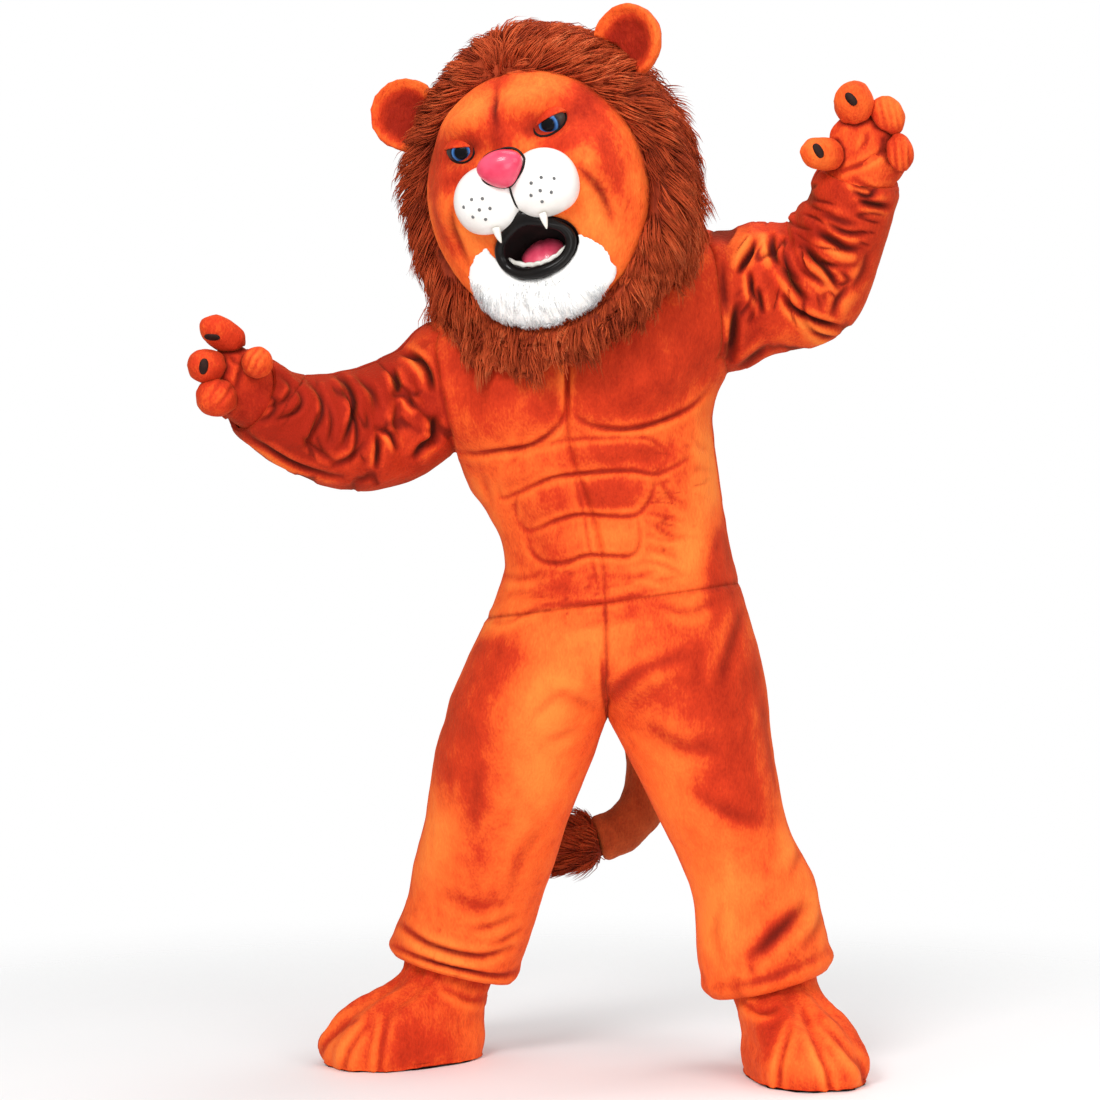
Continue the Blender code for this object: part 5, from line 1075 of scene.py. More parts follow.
def ontoFace(tree, x, z, lift=0.0):
    # the point of the face seen straight on at x and z of the head's frame
    way = headWay(0, 1, 0).normalized()
    spot = tree.ray_cast(headTurn @ Vector((x, head["inFront"], z)), way)[0]
    return spot - way * lift


muzzle = {
    "centre": (0.051, -0.199, 0.004), "radii": (0.0615, 0.0465, 0.0605),
    # the lower edge of each half is lifted beside the middle: place and reach across and up, height
    "lift": (0.056, 0.05, -0.06, 0.018, 0.006),
    "whiskers": [(0.045, 0.012), (0.064, 0.016), (0.083, 0.008), (0.038, -0.007), (0.056, -0.004),
                 (0.072, -0.012), (0.052, -0.022)],
    "whisker": (0.0031, 0.0012, 0.0031),
    "line": 0.0022, "lineSteps": 72, "noseEdge": 0.985, "noseDepth": 0.012, "noseLift": 0.0004,
    "crease": [(0.0, 0.030), (0.0, 0.012), (0.0, -0.006), (0.0, -0.022)], "creaseLift": 0.0008,
}


def makeLobes():
    white = plainFinish("muzzleWhite", (0.86, 0.82, 0.76), (0.95, 0.93, 0.90), size=0.05, roughness=0.38,
                        coat=0.25)
    lobes = []
    across, reachX, up, reachZ, height = muzzle["lift"]
    for side, sign in (("left", 1), ("right", -1)):
        x, y, z = muzzle["centre"]
        lobe = ball("lobe_" + side, (sign * x, y, z), muzzle["radii"], segments=64, rings=40)
        points = inHead(lobe)
        points[:, 2] += height * np.exp(-((points[:, 0] - sign * across) / reachX) ** 2
                                        - ((points[:, 2] - up) / reachZ) ** 2)
        fromHead(lobe, points)
        lobe.data.materials.append(white)
        lobes.append(declared(lobe, "white_muzzle", "muzzle_" + side))
    return lobes


def noseOutline(nose, tree):
    # a soft closed line round the nose, on the muzzle and never deeper than the nose itself
    flat = inHead(nose)[:, [0, 2]]
    middle = (flat.max(0) + flat.min(0)) / 2
    ring = []
    for angle in np.linspace(0, 2 * math.pi, muzzle["lineSteps"], endpoint=False):
        way = np.array([math.cos(angle), math.sin(angle)])
        ring.append(middle + way * (((flat - middle) @ way).max() * muzzle["noseEdge"]))
    ring = np.array(ring)
    ring = (np.roll(ring, 1, 0) + 2 * ring + np.roll(ring, -1, 0)) / 4
    depth = inHead(nose)[:, 1].max() - muzzle["noseDepth"]
    outline = []
    for x, z in ring:
        spot = headBack @ ontoFace(tree, x, z, muzzle["noseLift"])
        outline.append(headTurn @ Vector((x, min(spot.y, depth), z)))
    return tube("noseLine", outline, muzzle["line"], closed=True)


def makeMuzzle(face):
    tree = treeOf([lobe.data for lobe in makeLobes()] + [face.data])
    dots = []
    for sign in (-1, 1):
        for x, z in muzzle["whiskers"]:
            spot = headBack @ ontoFace(tree, sign * x, z)
            dots.append(ball("dot", tuple(spot), muzzle["whisker"], segments=12, rings=8))
    grey = plainFinish("dotPaint", (0.10, 0.10, 0.10), (0.16, 0.16, 0.16), roughness=0.5)
    declared(joined("whiskerDots", dots, grey), "white_muzzle")
    pink = plainFinish("nosePaint", (0.74, 0.04, 0.10), (0.86, 0.09, 0.17), roughness=0.38, coat=0.35,
                       specular=0.3)
    outline = noseOutline(dressed("nose", "nose_pink", pink), tree)
    crease = [ontoFace(tree, x, z, muzzle["creaseLift"]) for x, z in smoothLine(muzzle["crease"], 20)]
    black = plainFinish("linePaint", (0.012, 0.008, 0.007), (0.022, 0.015, 0.012), roughness=0.5,
                        specular=0.15)
    declared(joined("muzzleLines", [outline, tube("creaseLine", crease, muzzle["line"])], black), "black_lip")
    print("muzzle made")


eyes = {
    "x": 0.083, "z": 0.098, "radii": (0.0275, 0.0145, 0.0185), "lean": 16, "sunk": 0.0015,
    # rings of the eye from pupil to white, by the share of its half width; the gaze is off the middle
    "rings": [(0.46, (0.003, 0.003, 0.004)), (0.52, (0.012, 0.05, 0.16)), (0.66, (0.06, 0.20, 0.50)),
              (0.74, (0.006, 0.010, 0.025)), (0.92, (0.05, 0.035, 0.03))],
    "gaze": (0.002, 0.002), "halfWidth": 0.024,
    # the plush lid covers the top of the eye
    "lidLean": 12, "lidDrop": 0.004, "lidSunk": 0.0035, "lidGrowth": (1.18, 1.38, 1.24), "lidTip": 0.25,
    "lidNap": -0.25,
    # the dark line runs under the eye, up to where the lid covers it
    "rim": 0.0022, "rimSteps": 64, "rimLift": 0.0005, "rimOverlap": 0.002,
}


def capOf(obj, place, way):
    # cuts away what lies behind a plane, and closes the cut
    with edited(obj.data) as form:
        bmesh.ops.bisect_plane(form, geom=form.verts[:] + form.edges[:] + form.faces[:], plane_co=place,
                               plane_no=way, clear_inner=True)
        bmesh.ops.holes_fill(form, edges=form.edges)
        bmesh.ops.recalc_face_normals(form, faces=form.faces)


def lidRim(seat, sign, tree):
    lean, lid = math.radians(eyes["lean"]) * sign, math.radians(eyes["lidLean"])
    wide, _, high = eyes["radii"]
    arc = []
    for angle in np.linspace(0.5 * math.pi, 2.5 * math.pi, eyes["rimSteps"], endpoint=False):
        x, z = wide * math.cos(angle), high * math.sin(angle)
        x, z = x * math.cos(lean) - z * math.sin(lean), x * math.sin(lean) + z * math.cos(lean)
        if z * math.cos(lid) - x * sign * math.sin(lid) < eyes["lidDrop"] + eyes["rimOverlap"]:
            arc.append(ontoFace(tree, seat[0] + x, seat[2] + z, eyes["rimLift"]))
    return tube("rim", arc, eyes["rim"])


def makeEyes(tree):
    glass = Finish("eyeGlass", roughness=0.5, coat=0.16, specular=0.05)
    glass.colour(glass.ramp(glass.reads("across"), eyes["rings"]))
    rim = plainFinish("lidRim", (0.006, 0.004, 0.004), (0.012, 0.008, 0.007), roughness=0.6, specular=0.1)
    plushLid = plushFinish("lidPlush", dict(plush, patchSize=0.04), -0.04)
    for side, sign in (("left", 1), ("right", -1)):
        lean = -eyes["lean"] * sign
        seat = np.array(headBack @ ontoFace(tree, sign * eyes["x"], eyes["z"]))
        eye = ball("dressed_eye_" + side, tuple(seat + np.array([0, eyes["sunk"], 0])), eyes["radii"], lean)
        points = inHead(eye) - seat
        away = np.hypot(points[:, 0] + sign * eyes["gaze"][0], points[:, 2] + eyes["gaze"][1])
        mark(eye, "across", away / eyes["halfWidth"])
        eye.data.materials.append(glass.material)
        declared(eye, "eye", "eye_" + side)
        declared(joined("lidRim_" + side, [lidRim(seat, sign, tree)], rim), "eye")
        middle = seat + np.array([0, eyes["lidSunk"], 0])
        radii = np.array(eyes["radii"]) * eyes["lidGrowth"]
        cover = ball("lid_" + side, tuple(middle), tuple(radii), lean)
        tilt = math.radians(eyes["lidLean"]) * sign
        place = headTurn @ Vector(middle + np.array([0, 0, eyes["lidDrop"]]))
        capOf(cover, place, headWay(-math.sin(tilt), eyes["lidTip"], math.cos(tilt)))
        mark(cover, "nap", np.full(len(cover.data.vertices), eyes["lidNap"]))
        cover.data.materials.append(plushLid)
        declared(cover, "orange_plush")
    print("eyes made")


mouth = {
    # the upper lip runs up under the muzzle and fills the notch between its halves
    "upperFrom": -0.070, "upperTo": -0.050, "lipRise": 0.019, "lipWidth": 0.034, "lipBack": 0.004,
    # the tongue is plumper than its solid, and grooved down its middle
    "tongueGrowth": 1.9, "tongueShift": (-0.004, -0.012, 0.010), "groove": (0.0022, 0.004), "grooveTop": 0.3,
    # the lower teeth: a scalloped row round this height of the head's frame
    "teethMiddle": -0.095, "scallops": 9, "scallop": 0.0016, "teethShift": (0.0, -0.004, 0.018),
}


def makeTongue():
    pink = plainFinish("tonguePaint", (0.62, 0.035, 0.09), (0.80, 0.09, 0.16), size=0.02, roughness=0.35,
                       coat=0.4)
    tongue = dressed("tongue", "tongue_pink", pink)
    points = inHead(tongue)
    across, forward, up = mouth["tongueShift"]
    low = points[:, 2].min()
    points[:, 2] = low + (points[:, 2] - low) * mouth["tongueGrowth"] + up
    points[:, 1] += forward
    points[:, 0] += across
    depth, width = mouth["groove"]
    top = normalsOf(tongue) @ np.array(headWay(0, 0, 1)) > mouth["grooveTop"]
    points[:, 2] -= depth * bell(points[:, 0], width) * top
    fromHead(tongue, points)


def makeTeeth():
    ivory = plainFinish("toothPaint", (0.80, 0.76, 0.66), (0.92, 0.90, 0.84), size=0.02, roughness=0.3,
                        coat=0.5)
    teeth = dressed("lower_teeth", "tooth_white", ivory, crease=60)
    points = inHead(teeth)
    angle = np.arctan2(points[:, 0], points[:, 2] - mouth["teethMiddle"])
    pull = mouth["scallop"] * (1 - np.abs(np.sin(angle * mouth["scallops"])))
    points += np.array(mouth["teethShift"])
    flat = points[:, [0, 2]]
    points[:, [0, 2]] += pull[:, None] * flat / np.linalg.norm(flat, axis=1)[:, None]
    fromHead(teeth, points)
    for side in ("left", "right"):
        dressed("fang_" + side, "tooth_white", ivory)


def makeMouth():
    gloss = plainFinish("lipGloss", (0.004, 0.003, 0.003), (0.010, 0.008, 0.007), size=0.04, roughness=0.50,
                        coat=0.22, specular=0.08)
    lips = dressed("lips", "black_lip", gloss)
    points = inHead(lips)
    upper = softStep(points[:, 2], mouth["upperFrom"], mouth["upperTo"])
    points[:, 2] += mouth["lipRise"] * upper * bell(points[:, 0], mouth["lipWidth"])
    points[:, 1] += mouth["lipBack"] * upper
    fromHead(lips, points)
    cloth = plainFinish("mouthCloth", (0.010, 0.004, 0.004), (0.035, 0.008, 0.008), roughness=0.8)
    dressed("mouth_lining", "black_lip", cloth, 1, crease=50)
    makeTongue()
    makeTeeth()
    print("mouth made")


ears = {
    # the bare dish at the front: middle and half width, and where it starts and ends
    "middle": (0.214, 0.190), "halfWidth": 0.067, "dishFrom": 0.45, "dishTo": 0.80,
    "facing": (0.1, 0.6), "fluff": [(0.0022, 0.011, 7), (0.0009, 0.0055, 8)],
    # tones: the front brighter than the back as painted light and shade, the dish darker, and the dish's
    # painted shade
    "frontNapAndPaintedLight": 0.25, "dishNap": 0.70, "backNapAndPaintedLight": -0.25, "dishDark": 0.35,
}


def makeEars():
    finish = plushFinish("earPlush", dict(plush, patchSize=0.05), -0.05)
    for side, sign in (("left", 1), ("right", -1)):
        ear = refined(copied("ear_" + side, "dressed_ear_" + side), 2)
        points, flat, normals = pointsOf(ear), inHead(ear), normalsOf(ear)
        x, z = ears["middle"]
        away = np.hypot(flat[:, 0] - sign * x, flat[:, 2] - z) / ears["halfWidth"]
        forward = normals @ np.array(headWay(0, -1, 0))
        dish = (1 - softStep(away, ears["dishFrom"], ears["dishTo"])) * softStep(forward, *ears["facing"])
        fluff = sum(wobble(points, size, seed) * height for height, size, seed in ears["fluff"])
        movePoints(ear, points + normals * fluff[:, None])
        # painted light and shade: the front brighter than the back, and painted shade in the dish
        mark(ear, "nap", np.where(forward > 0, ears["frontNapAndPaintedLight"] - ears["dishNap"] * dish, ears["backNapAndPaintedLight"]))
        mark(ear, "hollow", dish * ears["dishDark"])
        ear.data.materials.append(finish)
        declared(ear, "orange_plush", "ear_" + side)
    print("ears made")


def dressHead():
    face = shapeFace()
    makeMuzzle(face)
    makeEyes(treeOf([face.data]))
    makeMouth()
    makeEars()
    return face


# Long pile: tones from root to tip, how far the skin is drawn in, and the number, length, width and seed of
# the strands; how strongly they gather into locks, stand up and hang
mane = {
    "tones": [(0.15, 0.017, 0.006), (0.38, 0.048, 0.013), (0.60, 0.093, 0.025), (0.82, 0.22, 0.082)],
    "sink": 0.006, "count": 20600, "length": (0.050, 0.082), "width": 0.0021, "seed": 11,
    "pull": 0.55, "lift": 0.20, "droop": 0.10,
    # each panel's cut: width and length of the piece in metres, and its flat area in square metres
    "flat": {"front": ((0.20, 0.72), 0.105), "back": ((0.32, 0.70), 0.175)},
    "crease": 60, "outside": (0.0, 0.5), "skinTone": (0.3, 0.1),
    # the front rim carries more strands than the outside, and the back of the head fewer
    "outFacing": 0.02, "rimDepth": -0.10, "rimFacing": 0.15, "rimDensity": 1.5,
    "backDepth": 0.08, "backDensity": 0.55,
    # how it is combed: outwards all round, back and aside on top, down at the sides and below
    "high": (-0.02, 0.20), "low": (0.05, 0.20), "fore": (-0.02, 0.08), "outwards": (0.85, -0.35),
    "backwards": (0.25, 0.75), "aside": 0.9, "down": (-0.2, -0.9), "hang": (0.2, 0.5),
    # the lower edge is trimmed short, but for some whole locks that hang over the chest
    "trimmed": (0.10, 0.22), "trim": 0.55, "frontTrim": 0.22, "topTrim": 0.15,
    "looseShare": 0.75, "looseSize": 0.016, "looseSeed": 5, "loose": (0.08, 0.30),
}
tuft = {
    "tones": [(0.13, 0.015, 0.005), (0.34, 0.042, 0.011), (0.52, 0.080, 0.020), (0.70, 0.18, 0.065)],
    "sink": 0.005, "count": 2300, "length": (0.040, 0.070), "width": 0.0020, "seed": 12,
    "pull": 0.7, "lift": 0.10, "droop": 0.06, "spread": 0.15,
}
chin = {
    "tones": [(0.93, 0.90, 0.85), (0.97, 0.96, 0.93), (1.0, 1.0, 0.99), (1.0, 1.0, 1.0)],
    "sink": 0.003, "count": 2700, "length": (0.012, 0.021), "width": 0.0013, "seed": 13,
    "pull": 0.30, "lift": 0.09, "droop": 0.10,
    # the white as the photograph's frame shows it, in pixels
    "edge": [(572, 232), (592, 238), (612, 254), (606, 280), (596, 306), (578, 324), (548, 331), (516, 333),
             (492, 324), (478, 300), (468, 274), (476, 256), (487, 246), (497, 260), (518, 272), (546, 274),
             (565, 260), (571, 240)],
    # strands stand along its lower outline only: where they start and are all there, and how near the edge
    "fringe": (274, 300), "fringeReach": 8, "fringeLeast": 0.12,
    # the pad is narrower than its solid beyond this width, and joined to the white on the face
    "wide": 0.11, "narrowed": 0.4, "patch": 0.0045, "voxel": 0.0034, "smoothing": 20,
    "fluff": (0.0012, 0.0012, 0.014, 9), "fan": 5, "comb": (0, -0.25, -0.8),
    "darkest": 0.55, "toneRange": 0.45,
}
strand = {
    # its four points: share along, how far each stands off the skin, follows its lock and keeps its width
    "along": (0.0, 0.33, 0.68, 1.0), "rise": (-0.06, 0.16, 0.20, 0.12), "gather": (0.0, 0.25, 0.65, 1.0),
    "taper": (1.0, 0.95, 0.62, 0.0), "usualLift": 0.22, "perLock": 22, "stray": 0.10, "perPiece": 12000,
    # what differs from strand to strand: how far it stands up and how thick it is, the least and the range,
    # how many are short, and the shares that its lock and the strand itself have in its tone
    "standing": (0.7, 0.6), "thickness": (0.75, 0.5), "shortness": 1.5, "lockShare": 0.7, "ownShare": 0.3,
    "skinTone": (0.25, 0.0),  # the skin's: the lock's share and the place from root to tip
}


def scattered(obj, count, dice, allowed):
    # spots spread evenly by area over the faces that are allowed, with the surface's way out there
    mesh = obj.data
    mesh.calc_loop_triangles()
    corners = wholeNumbers(mesh.loop_triangles, "vertices", 3).reshape(-1, 3)
    points, normals = pointsOf(obj), normalsOf(obj)
    a, b, c = (points[corners[:, k]] for k in range(3))
    outward = np.cross(b - a, c - a)
    size = np.linalg.norm(outward, axis=1)
    outward /= np.maximum(size, 1e-12)[:, None]
    weight = size * allowed((a + b + c) / 3, outward)
    chosen = dice.choice(len(corners), count, p=weight / weight.sum())
    u, v = dice.random((2, count))
    over = u + v > 1
    u[over], v[over] = 1 - u[over], 1 - v[over]
    spots = a[chosen] + u[:, None] * (b - a)[chosen] + v[:, None] * (c - a)[chosen]
    first, second, third = (normals[corners[chosen, k]] for k in range(3))
    return spots, unit(first * (1 - u - v)[:, None] + second * u[:, None] + third * v[:, None])


def combed(spots, normals, ways, settings, dice, trim=1.0):
    # middle lines of the strands: they leave the skin, lie down and gather into locks
    count = len(spots)
    ways = unit(ways - (ways * normals).sum(1)[:, None] * normals)
    ways = unit(ways + dice.normal(0, strand["stray"], (count, 3)))
    low, high = settings["length"]
    length = (low + (high - low) * dice.random(count) ** strand["shortness"]) * trim
    share, gather = np.array(strand["along"]), settings["pull"] * np.array(strand["gather"])
    least, spread = strand["standing"]
    rise = np.array(strand["rise"]) * (least + spread * dice.random(count))[:, None]
    rise = rise * (settings["lift"] / strand["usualLift"])
    lines = (spots[:, None] + length[:, None, None] * (share[None, :, None] * ways[:, None]
                                                       + rise[..., None] * normals[:, None]))
    lines[..., 2] -= settings["droop"] * length[:, None] * share[None] ** 2
    middles = dice.choice(count, max(count // strand["perLock"], 1), replace=False)
    tree = nearestOf(spots[middles])
    lock = np.array([tree.find(spot)[1] for spot in spots])
    lines += (lines[middles][lock] - lines) * gather[None, :, None]
    tone = dice.random(len(middles))[lock] * strand["lockShare"] + dice.random(count) * strand["ownShare"]
    return lines, tone


def hairs(name, lines, tones, width, kept, dice):
    # three-sided hairs along lines, in one mesh: rings at all the kept points but the last, which is the tip
    count, rings = len(lines), len(kept) - 1
    total = 3 * rings + 1
    along, taper = np.array(strand["along"])[kept], np.array(strand["taper"])[kept][:rings]
    ahead = unit(lines[:, -1] - lines[:, 0])
    across = unit(np.cross(ahead, dice.normal(0, 1, (count, 3))))
    other = np.cross(ahead, across)
    least, spread = strand["thickness"]
    sizes = width * (least + spread * dice.random(count))[:, None] * taper[None]
    angle = np.array([0, 2, 4])[None, :, None] * math.pi / 3
    hoop = np.cos(angle) * across[:, None] + np.sin(angle) * other[:, None]
    hoops = lines[:, :rings, None] + 0.5 * sizes[..., None, None] * hoop[:, None]
    points = np.concatenate([hoops.reshape(count, 3 * rings, 3), lines[:, rings:]], axis=1)
    quads = [(3 * r + k, 3 * r + (k + 1) % 3, 3 * r + 3 + (k + 1) % 3, 3 * r + 3 + k)
             for r in range(rings - 1) for k in range(3)]
    last = 3 * rings - 3
    ends = [(last + k, last + (k + 1) % 3, last + 3) for k in range(3)] + [(2, 1, 0)]
    offset = np.arange(count)[:, None, None] * total
    corners = [(np.array(faces)[None] + offset).reshape(-1) for faces in (quads, ends)]
    starts = [np.arange(count * len(quads)) * 4, len(corners[0]) + np.arange(count * len(ends)) * 3]
    mesh = bpy.data.meshes.new(name)
    mesh.vertices.add(count * total)
    mesh.vertices.foreach_set("co", points.ravel())
    mesh.loops.add(sum(map(len, corners)))
    mesh.loops.foreach_set("vertex_index", np.concatenate(corners))
    mesh.polygons.add(sum(map(len, starts)))
    mesh.polygons.foreach_set("loop_start", np.concatenate(starts))
    mesh.update(calc_edges=True)
    mesh.validate()
    mesh.polygons.foreach_set("use_smooth", np.ones(len(mesh.polygons), bool))
    obj = linked(name, mesh)
    mark(obj, "lock", np.repeat(tones, total))
    mark(obj, "along", np.tile(np.repeat(along, [3] * rings + [1]), count))
    return obj


def strands(name, lines, tone, width, finish, slot, dice, kept=(0, 1, 2, 3)):
    # all the strands, in pieces of a size that is easy to handle
    kept, limit = list(kept), strand["perPiece"]
    for part, start in enumerate(range(0, len(lines), limit)):
        some = slice(start, start + limit)
        piece = hairs(name + str(part), lines[some][:, kept], tone[some], width, kept, dice)
        piece.data.materials.append(finish)
        declared(piece, slot)


def marked(base, tone, finish):
    lock, along = tone
    mark(base, "lock", np.full(len(base.data.vertices), lock))
    mark(base, "along", np.full(len(base.data.vertices), along))
    base.data.materials.append(finish)


def sunkBase(node, name, settings, finish, slot, levels):
    # the skin under the pile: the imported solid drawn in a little, its tones dark
    base = refined(copied(node, name), levels)
    movePoints(base, pointsOf(base) - settings["sink"] * normalsOf(base))
    marked(base, strand["skinTone"], finish)
    return declared(base, slot, node)


def inPolygon(spots, corners):
    inside = np.zeros(len(spots), bool)
    previous = corners[-1]
    for corner in corners:
        (x0, y0), (x1, y1) = previous, corner
        crosses = (y0 > spots[:, 1]) != (y1 > spots[:, 1])
        if y0 != y1:
            crosses &= spots[:, 0] < (x1 - x0) * (spots[:, 1] - y0) / (y1 - y0) + x0
        inside ^= crosses
        previous = corner
    return inside


def maneBases(finish):
    # the hood's four panels, their outsides drawn in under the pile
    bases = []
    for panel in [kind + side for kind in ("front_", "back_") for side in ("left", "right")]:
        node = "mane_" + panel
        base = refined(creased(copied(node, "dressed_" + node), mane["crease"]), 1)
        points, normals = pointsOf(base), normalsOf(base)
        outside = softStep((unit(points - headMiddle) * normals).sum(1), *mane["outside"])
        movePoints(base, points - mane["sink"] * normals * outside[:, None])
        marked(base, mane["skinTone"], finish)
        bases.append(declared(base, "brown_fur", node))
    return bases


def maneRoots(centres, outward):
    # the outside of the hood and its front rim, more densely where it is seen
    depth = turned(centres, headBack)[:, 1]
    out = (outward * (centres - headMiddle)).sum(1) > mane["outFacing"]
    rim = (depth < mane["rimDepth"]) & (outward @ np.array(headWay(0, -1, 0)) > mane["rimFacing"])
    density = np.where(depth > mane["backDepth"], mane["backDensity"], np.where(rim, mane["rimDensity"], 1.0))
    return (out | rim) * density


def makeMane():
    finish = furFinish("maneFur", mane["tones"])
    roots = [linked("maneRoots", base.data.copy()) for base in maneBases(finish)]
    selectOnly(*roots)
    bpy.ops.object.join()
    dice = np.random.default_rng(mane["seed"])
    spots, normals = scattered(roots[0], mane["count"], dice, maneRoots)
    bpy.data.objects.remove(roots[0])
    flat = turned(spots, headBack)
    radial = unit(flat * np.array([1, 0, 1]))
    high, low = softStep(flat[:, 2], *mane["high"]), softStep(-flat[:, 2], *mane["low"])
    fore = softStep(-flat[:, 1], *mane["fore"])
    outwards = mane["outwards"][0] + mane["outwards"][1] * low
    backwards = mane["backwards"][0] + mane["backwards"][1] * high
    aside, down = np.sign(flat[:, 0]) * (mane["aside"] * high), mane["down"][0] + mane["down"][1] * (1 - high)
    comb = radial * outwards[:, None] + np.column_stack([aside, backwards, down])
    ways = comb @ turnAlone.T
    ways[:, 2] -= mane["hang"][1] * low + mane["hang"][0]
    loose = mane["looseShare"] * softStep(wobble(spots, mane["looseSize"], mane["looseSeed"]), *mane["loose"])
    trim = (mane["trim"] + mane["frontTrim"] * fore) * (1 - loose) * softStep(-flat[:, 2], *mane["trimmed"])
    lines, tone = combed(spots, normals, ways, mane, dice, trim=1 - trim - mane["topTrim"] * high)
    strands("maneStrands", lines, tone, mane["width"], finish, "brown_fur", dice)
    print("mane combed")


def makeTuft():
    finish = furFinish("tuftFur", tuft["tones"])
    base = sunkBase("tail_tuft", "tuftBase", tuft, finish, "brown_fur", 2)
    dice = np.random.default_rng(tuft["seed"])
    spots, normals = scattered(base, tuft["count"], dice, lambda centres, outward: np.ones(len(centres)))
    points = pointsOf(base)
    root, tip = points[points[:, 0].argmax()], points[points[:, 0].argmin()]
    ways = np.tile(unit((tip - root)[None])[0], (len(spots), 1)) + tuft["spread"] * normals
    lines, tone = combed(spots, normals, ways, tuft, dice)
    strands("tuftStrands", lines, tone, tuft["width"], finish, "brown_fur", dice)
    print("tuft combed")


def onChin(centres, outward):
    return inPolygon(toPhoto(centres), chin["edge"]) & (outward @ np.array(headWay(0, -1, 0)) > 0.0)


def chinRoots(centres, outward):
    # the pile is short and dense, and stands out along the lower outline
    spots = toPhoto(centres)
    gap = nearLine(spots, np.array(chin["edge"] + chin["edge"][:1], float))[0]
    lower = softStep(spots[:, 1], *chin["fringe"])
    return onChin(centres, outward) * (chin["fringeLeast"] + bell(gap, chin["fringeReach"])) * lower


def chinPatch(face):
    # the white runs up over the face as far as the lips
    patch = linked("chinPatch", face.data.copy())
    with edited(patch.data) as form:
        faces = form.faces[:]
        centres = np.array([f.calc_center_median() for f in faces])
        inside = onChin(centres, np.array([f.normal for f in faces]))
        bmesh.ops.delete(form, geom=[f for f, keep in zip(faces, inside) if not keep], context="FACES")
    patch.data.materials.clear()
    return applied(patch, "SOLIDIFY", thickness=chin["patch"], offset=1.0)


def makeChin(face):
    skin = plainFinish("chinPile", (0.93, 0.91, 0.87), (1.0, 0.99, 0.97), size=0.015, roughness=0.85,
                       grain=0.0012, grainSize=0.004, sheen=0.3, specular=0.05)
    base = sunkBase("chin", "chinBase", chin, skin, "white_plush", 2)
    points = inHead(base)
    beyond = np.maximum(np.abs(points[:, 0]) - chin["wide"], 0)
    points[:, 0] -= np.sign(points[:, 0]) * chin["narrowed"] * beyond
    fromHead(base, points)
    patch = chinPatch(face)
    selectOnly(base, patch)
    bpy.ops.object.join()
    evened(base, chin["voxel"], chin["smoothing"])
    swell, height, size, seed = chin["fluff"]
    fluff = swell + height * wobble(pointsOf(base), size, seed)
    movePoints(base, pointsOf(base) + fluff[:, None] * normalsOf(base))
    base.data.materials.clear()
    base.data.materials.append(skin)
    smoothShaded(base)
    dice = np.random.default_rng(chin["seed"])
    spots, normals = scattered(base, chin["count"], dice, chinRoots)
    ways = turned(spots, headBack)[:, :1] * np.array([chin["fan"], 0, 0]) + np.array(chin["comb"])
    lines, tone = combed(spots, normals, ways @ turnAlone.T, chin, dice)
    fur = furFinish("chinFur", chin["tones"], 0.004, sheen=0.5, subsurface=0.6)
    tone = chin["darkest"] + chin["toneRange"] * tone
    strands("chinStrands", lines, tone, chin["width"], fur, "white_plush", dice, (0, 2, 3))
    print("chin combed")


def dressFur(face):
    makeMane()
    makeTuft()
    makeChin(face)


# Toe grooves and side seams of the boots in the photograph's pixels
bootFolds = [
    ([(792, 1022), (783, 1056), (774, 1112)], 4.5, 3.0, 4.0),
    ([(806, 1022), (820, 1056), (842, 1112)], 4.5, 3.0, 4.0),
    ([(800, 1004), (806, 1020), (812, 1030)], 3.5, 3.0, 1.5),
    ([(818, 1020), (846, 1050), (880, 1096)], 4.5, 3.4, 3.5),
    ([(372, 1020), (352, 1046), (334, 1090)], 4.5, 3.0, 4.0),
    ([(388, 1014), (382, 1046), (376, 1094)], 4.5, 3.0, 4.0),
    ([(360, 1016), (336, 1032), (308, 1070)], 4.5, 3.4, 3.5),
    ([(440, 985), (470, 1000), (492, 996)], 4, 3.4, 2.5),
    ([(740, 1000), (760, 1012), (780, 1008)], 4, 3.4, 2.5),
]
# Patches of the boots' pile, partly painted light and shade: centre and reach in pixels, tone
bootNapAndPaintedLight = [
    (770, 1030, 14, 24, -0.5), (800, 1060, 30, 20, 0.3), (850, 1060, 20, 30, 0.1), (830, 1020, 20, 20, 0.3),
    (400, 1045, 30, 20, -0.3), (345, 1050, 24, 20, 0.35), (470, 1030, 30, 30, 0.25),
    (740, 1050, 16, 40, 0.25),
]
# Creases of the palms
mittFolds = [
    ([(836, 173), (862, 164), (882, 153), (896, 148)], 4.5, 2.6, 2.4),
    ([(852, 178), (874, 190), (896, 190)], 4.0, 2.8, 2.4),
    ([(868, 130), (866, 142), (858, 152)], 3.0, 2.4, 1.8),
    ([(246, 356), (240, 374), (236, 392)], 4.0, 2.8, 2.4),
    ([(228, 352), (236, 362), (246, 366)], 3.5, 2.6, 2.0),
    ([(236, 396), (230, 408), (224, 418)], 3.0, 2.6, 1.6),
]
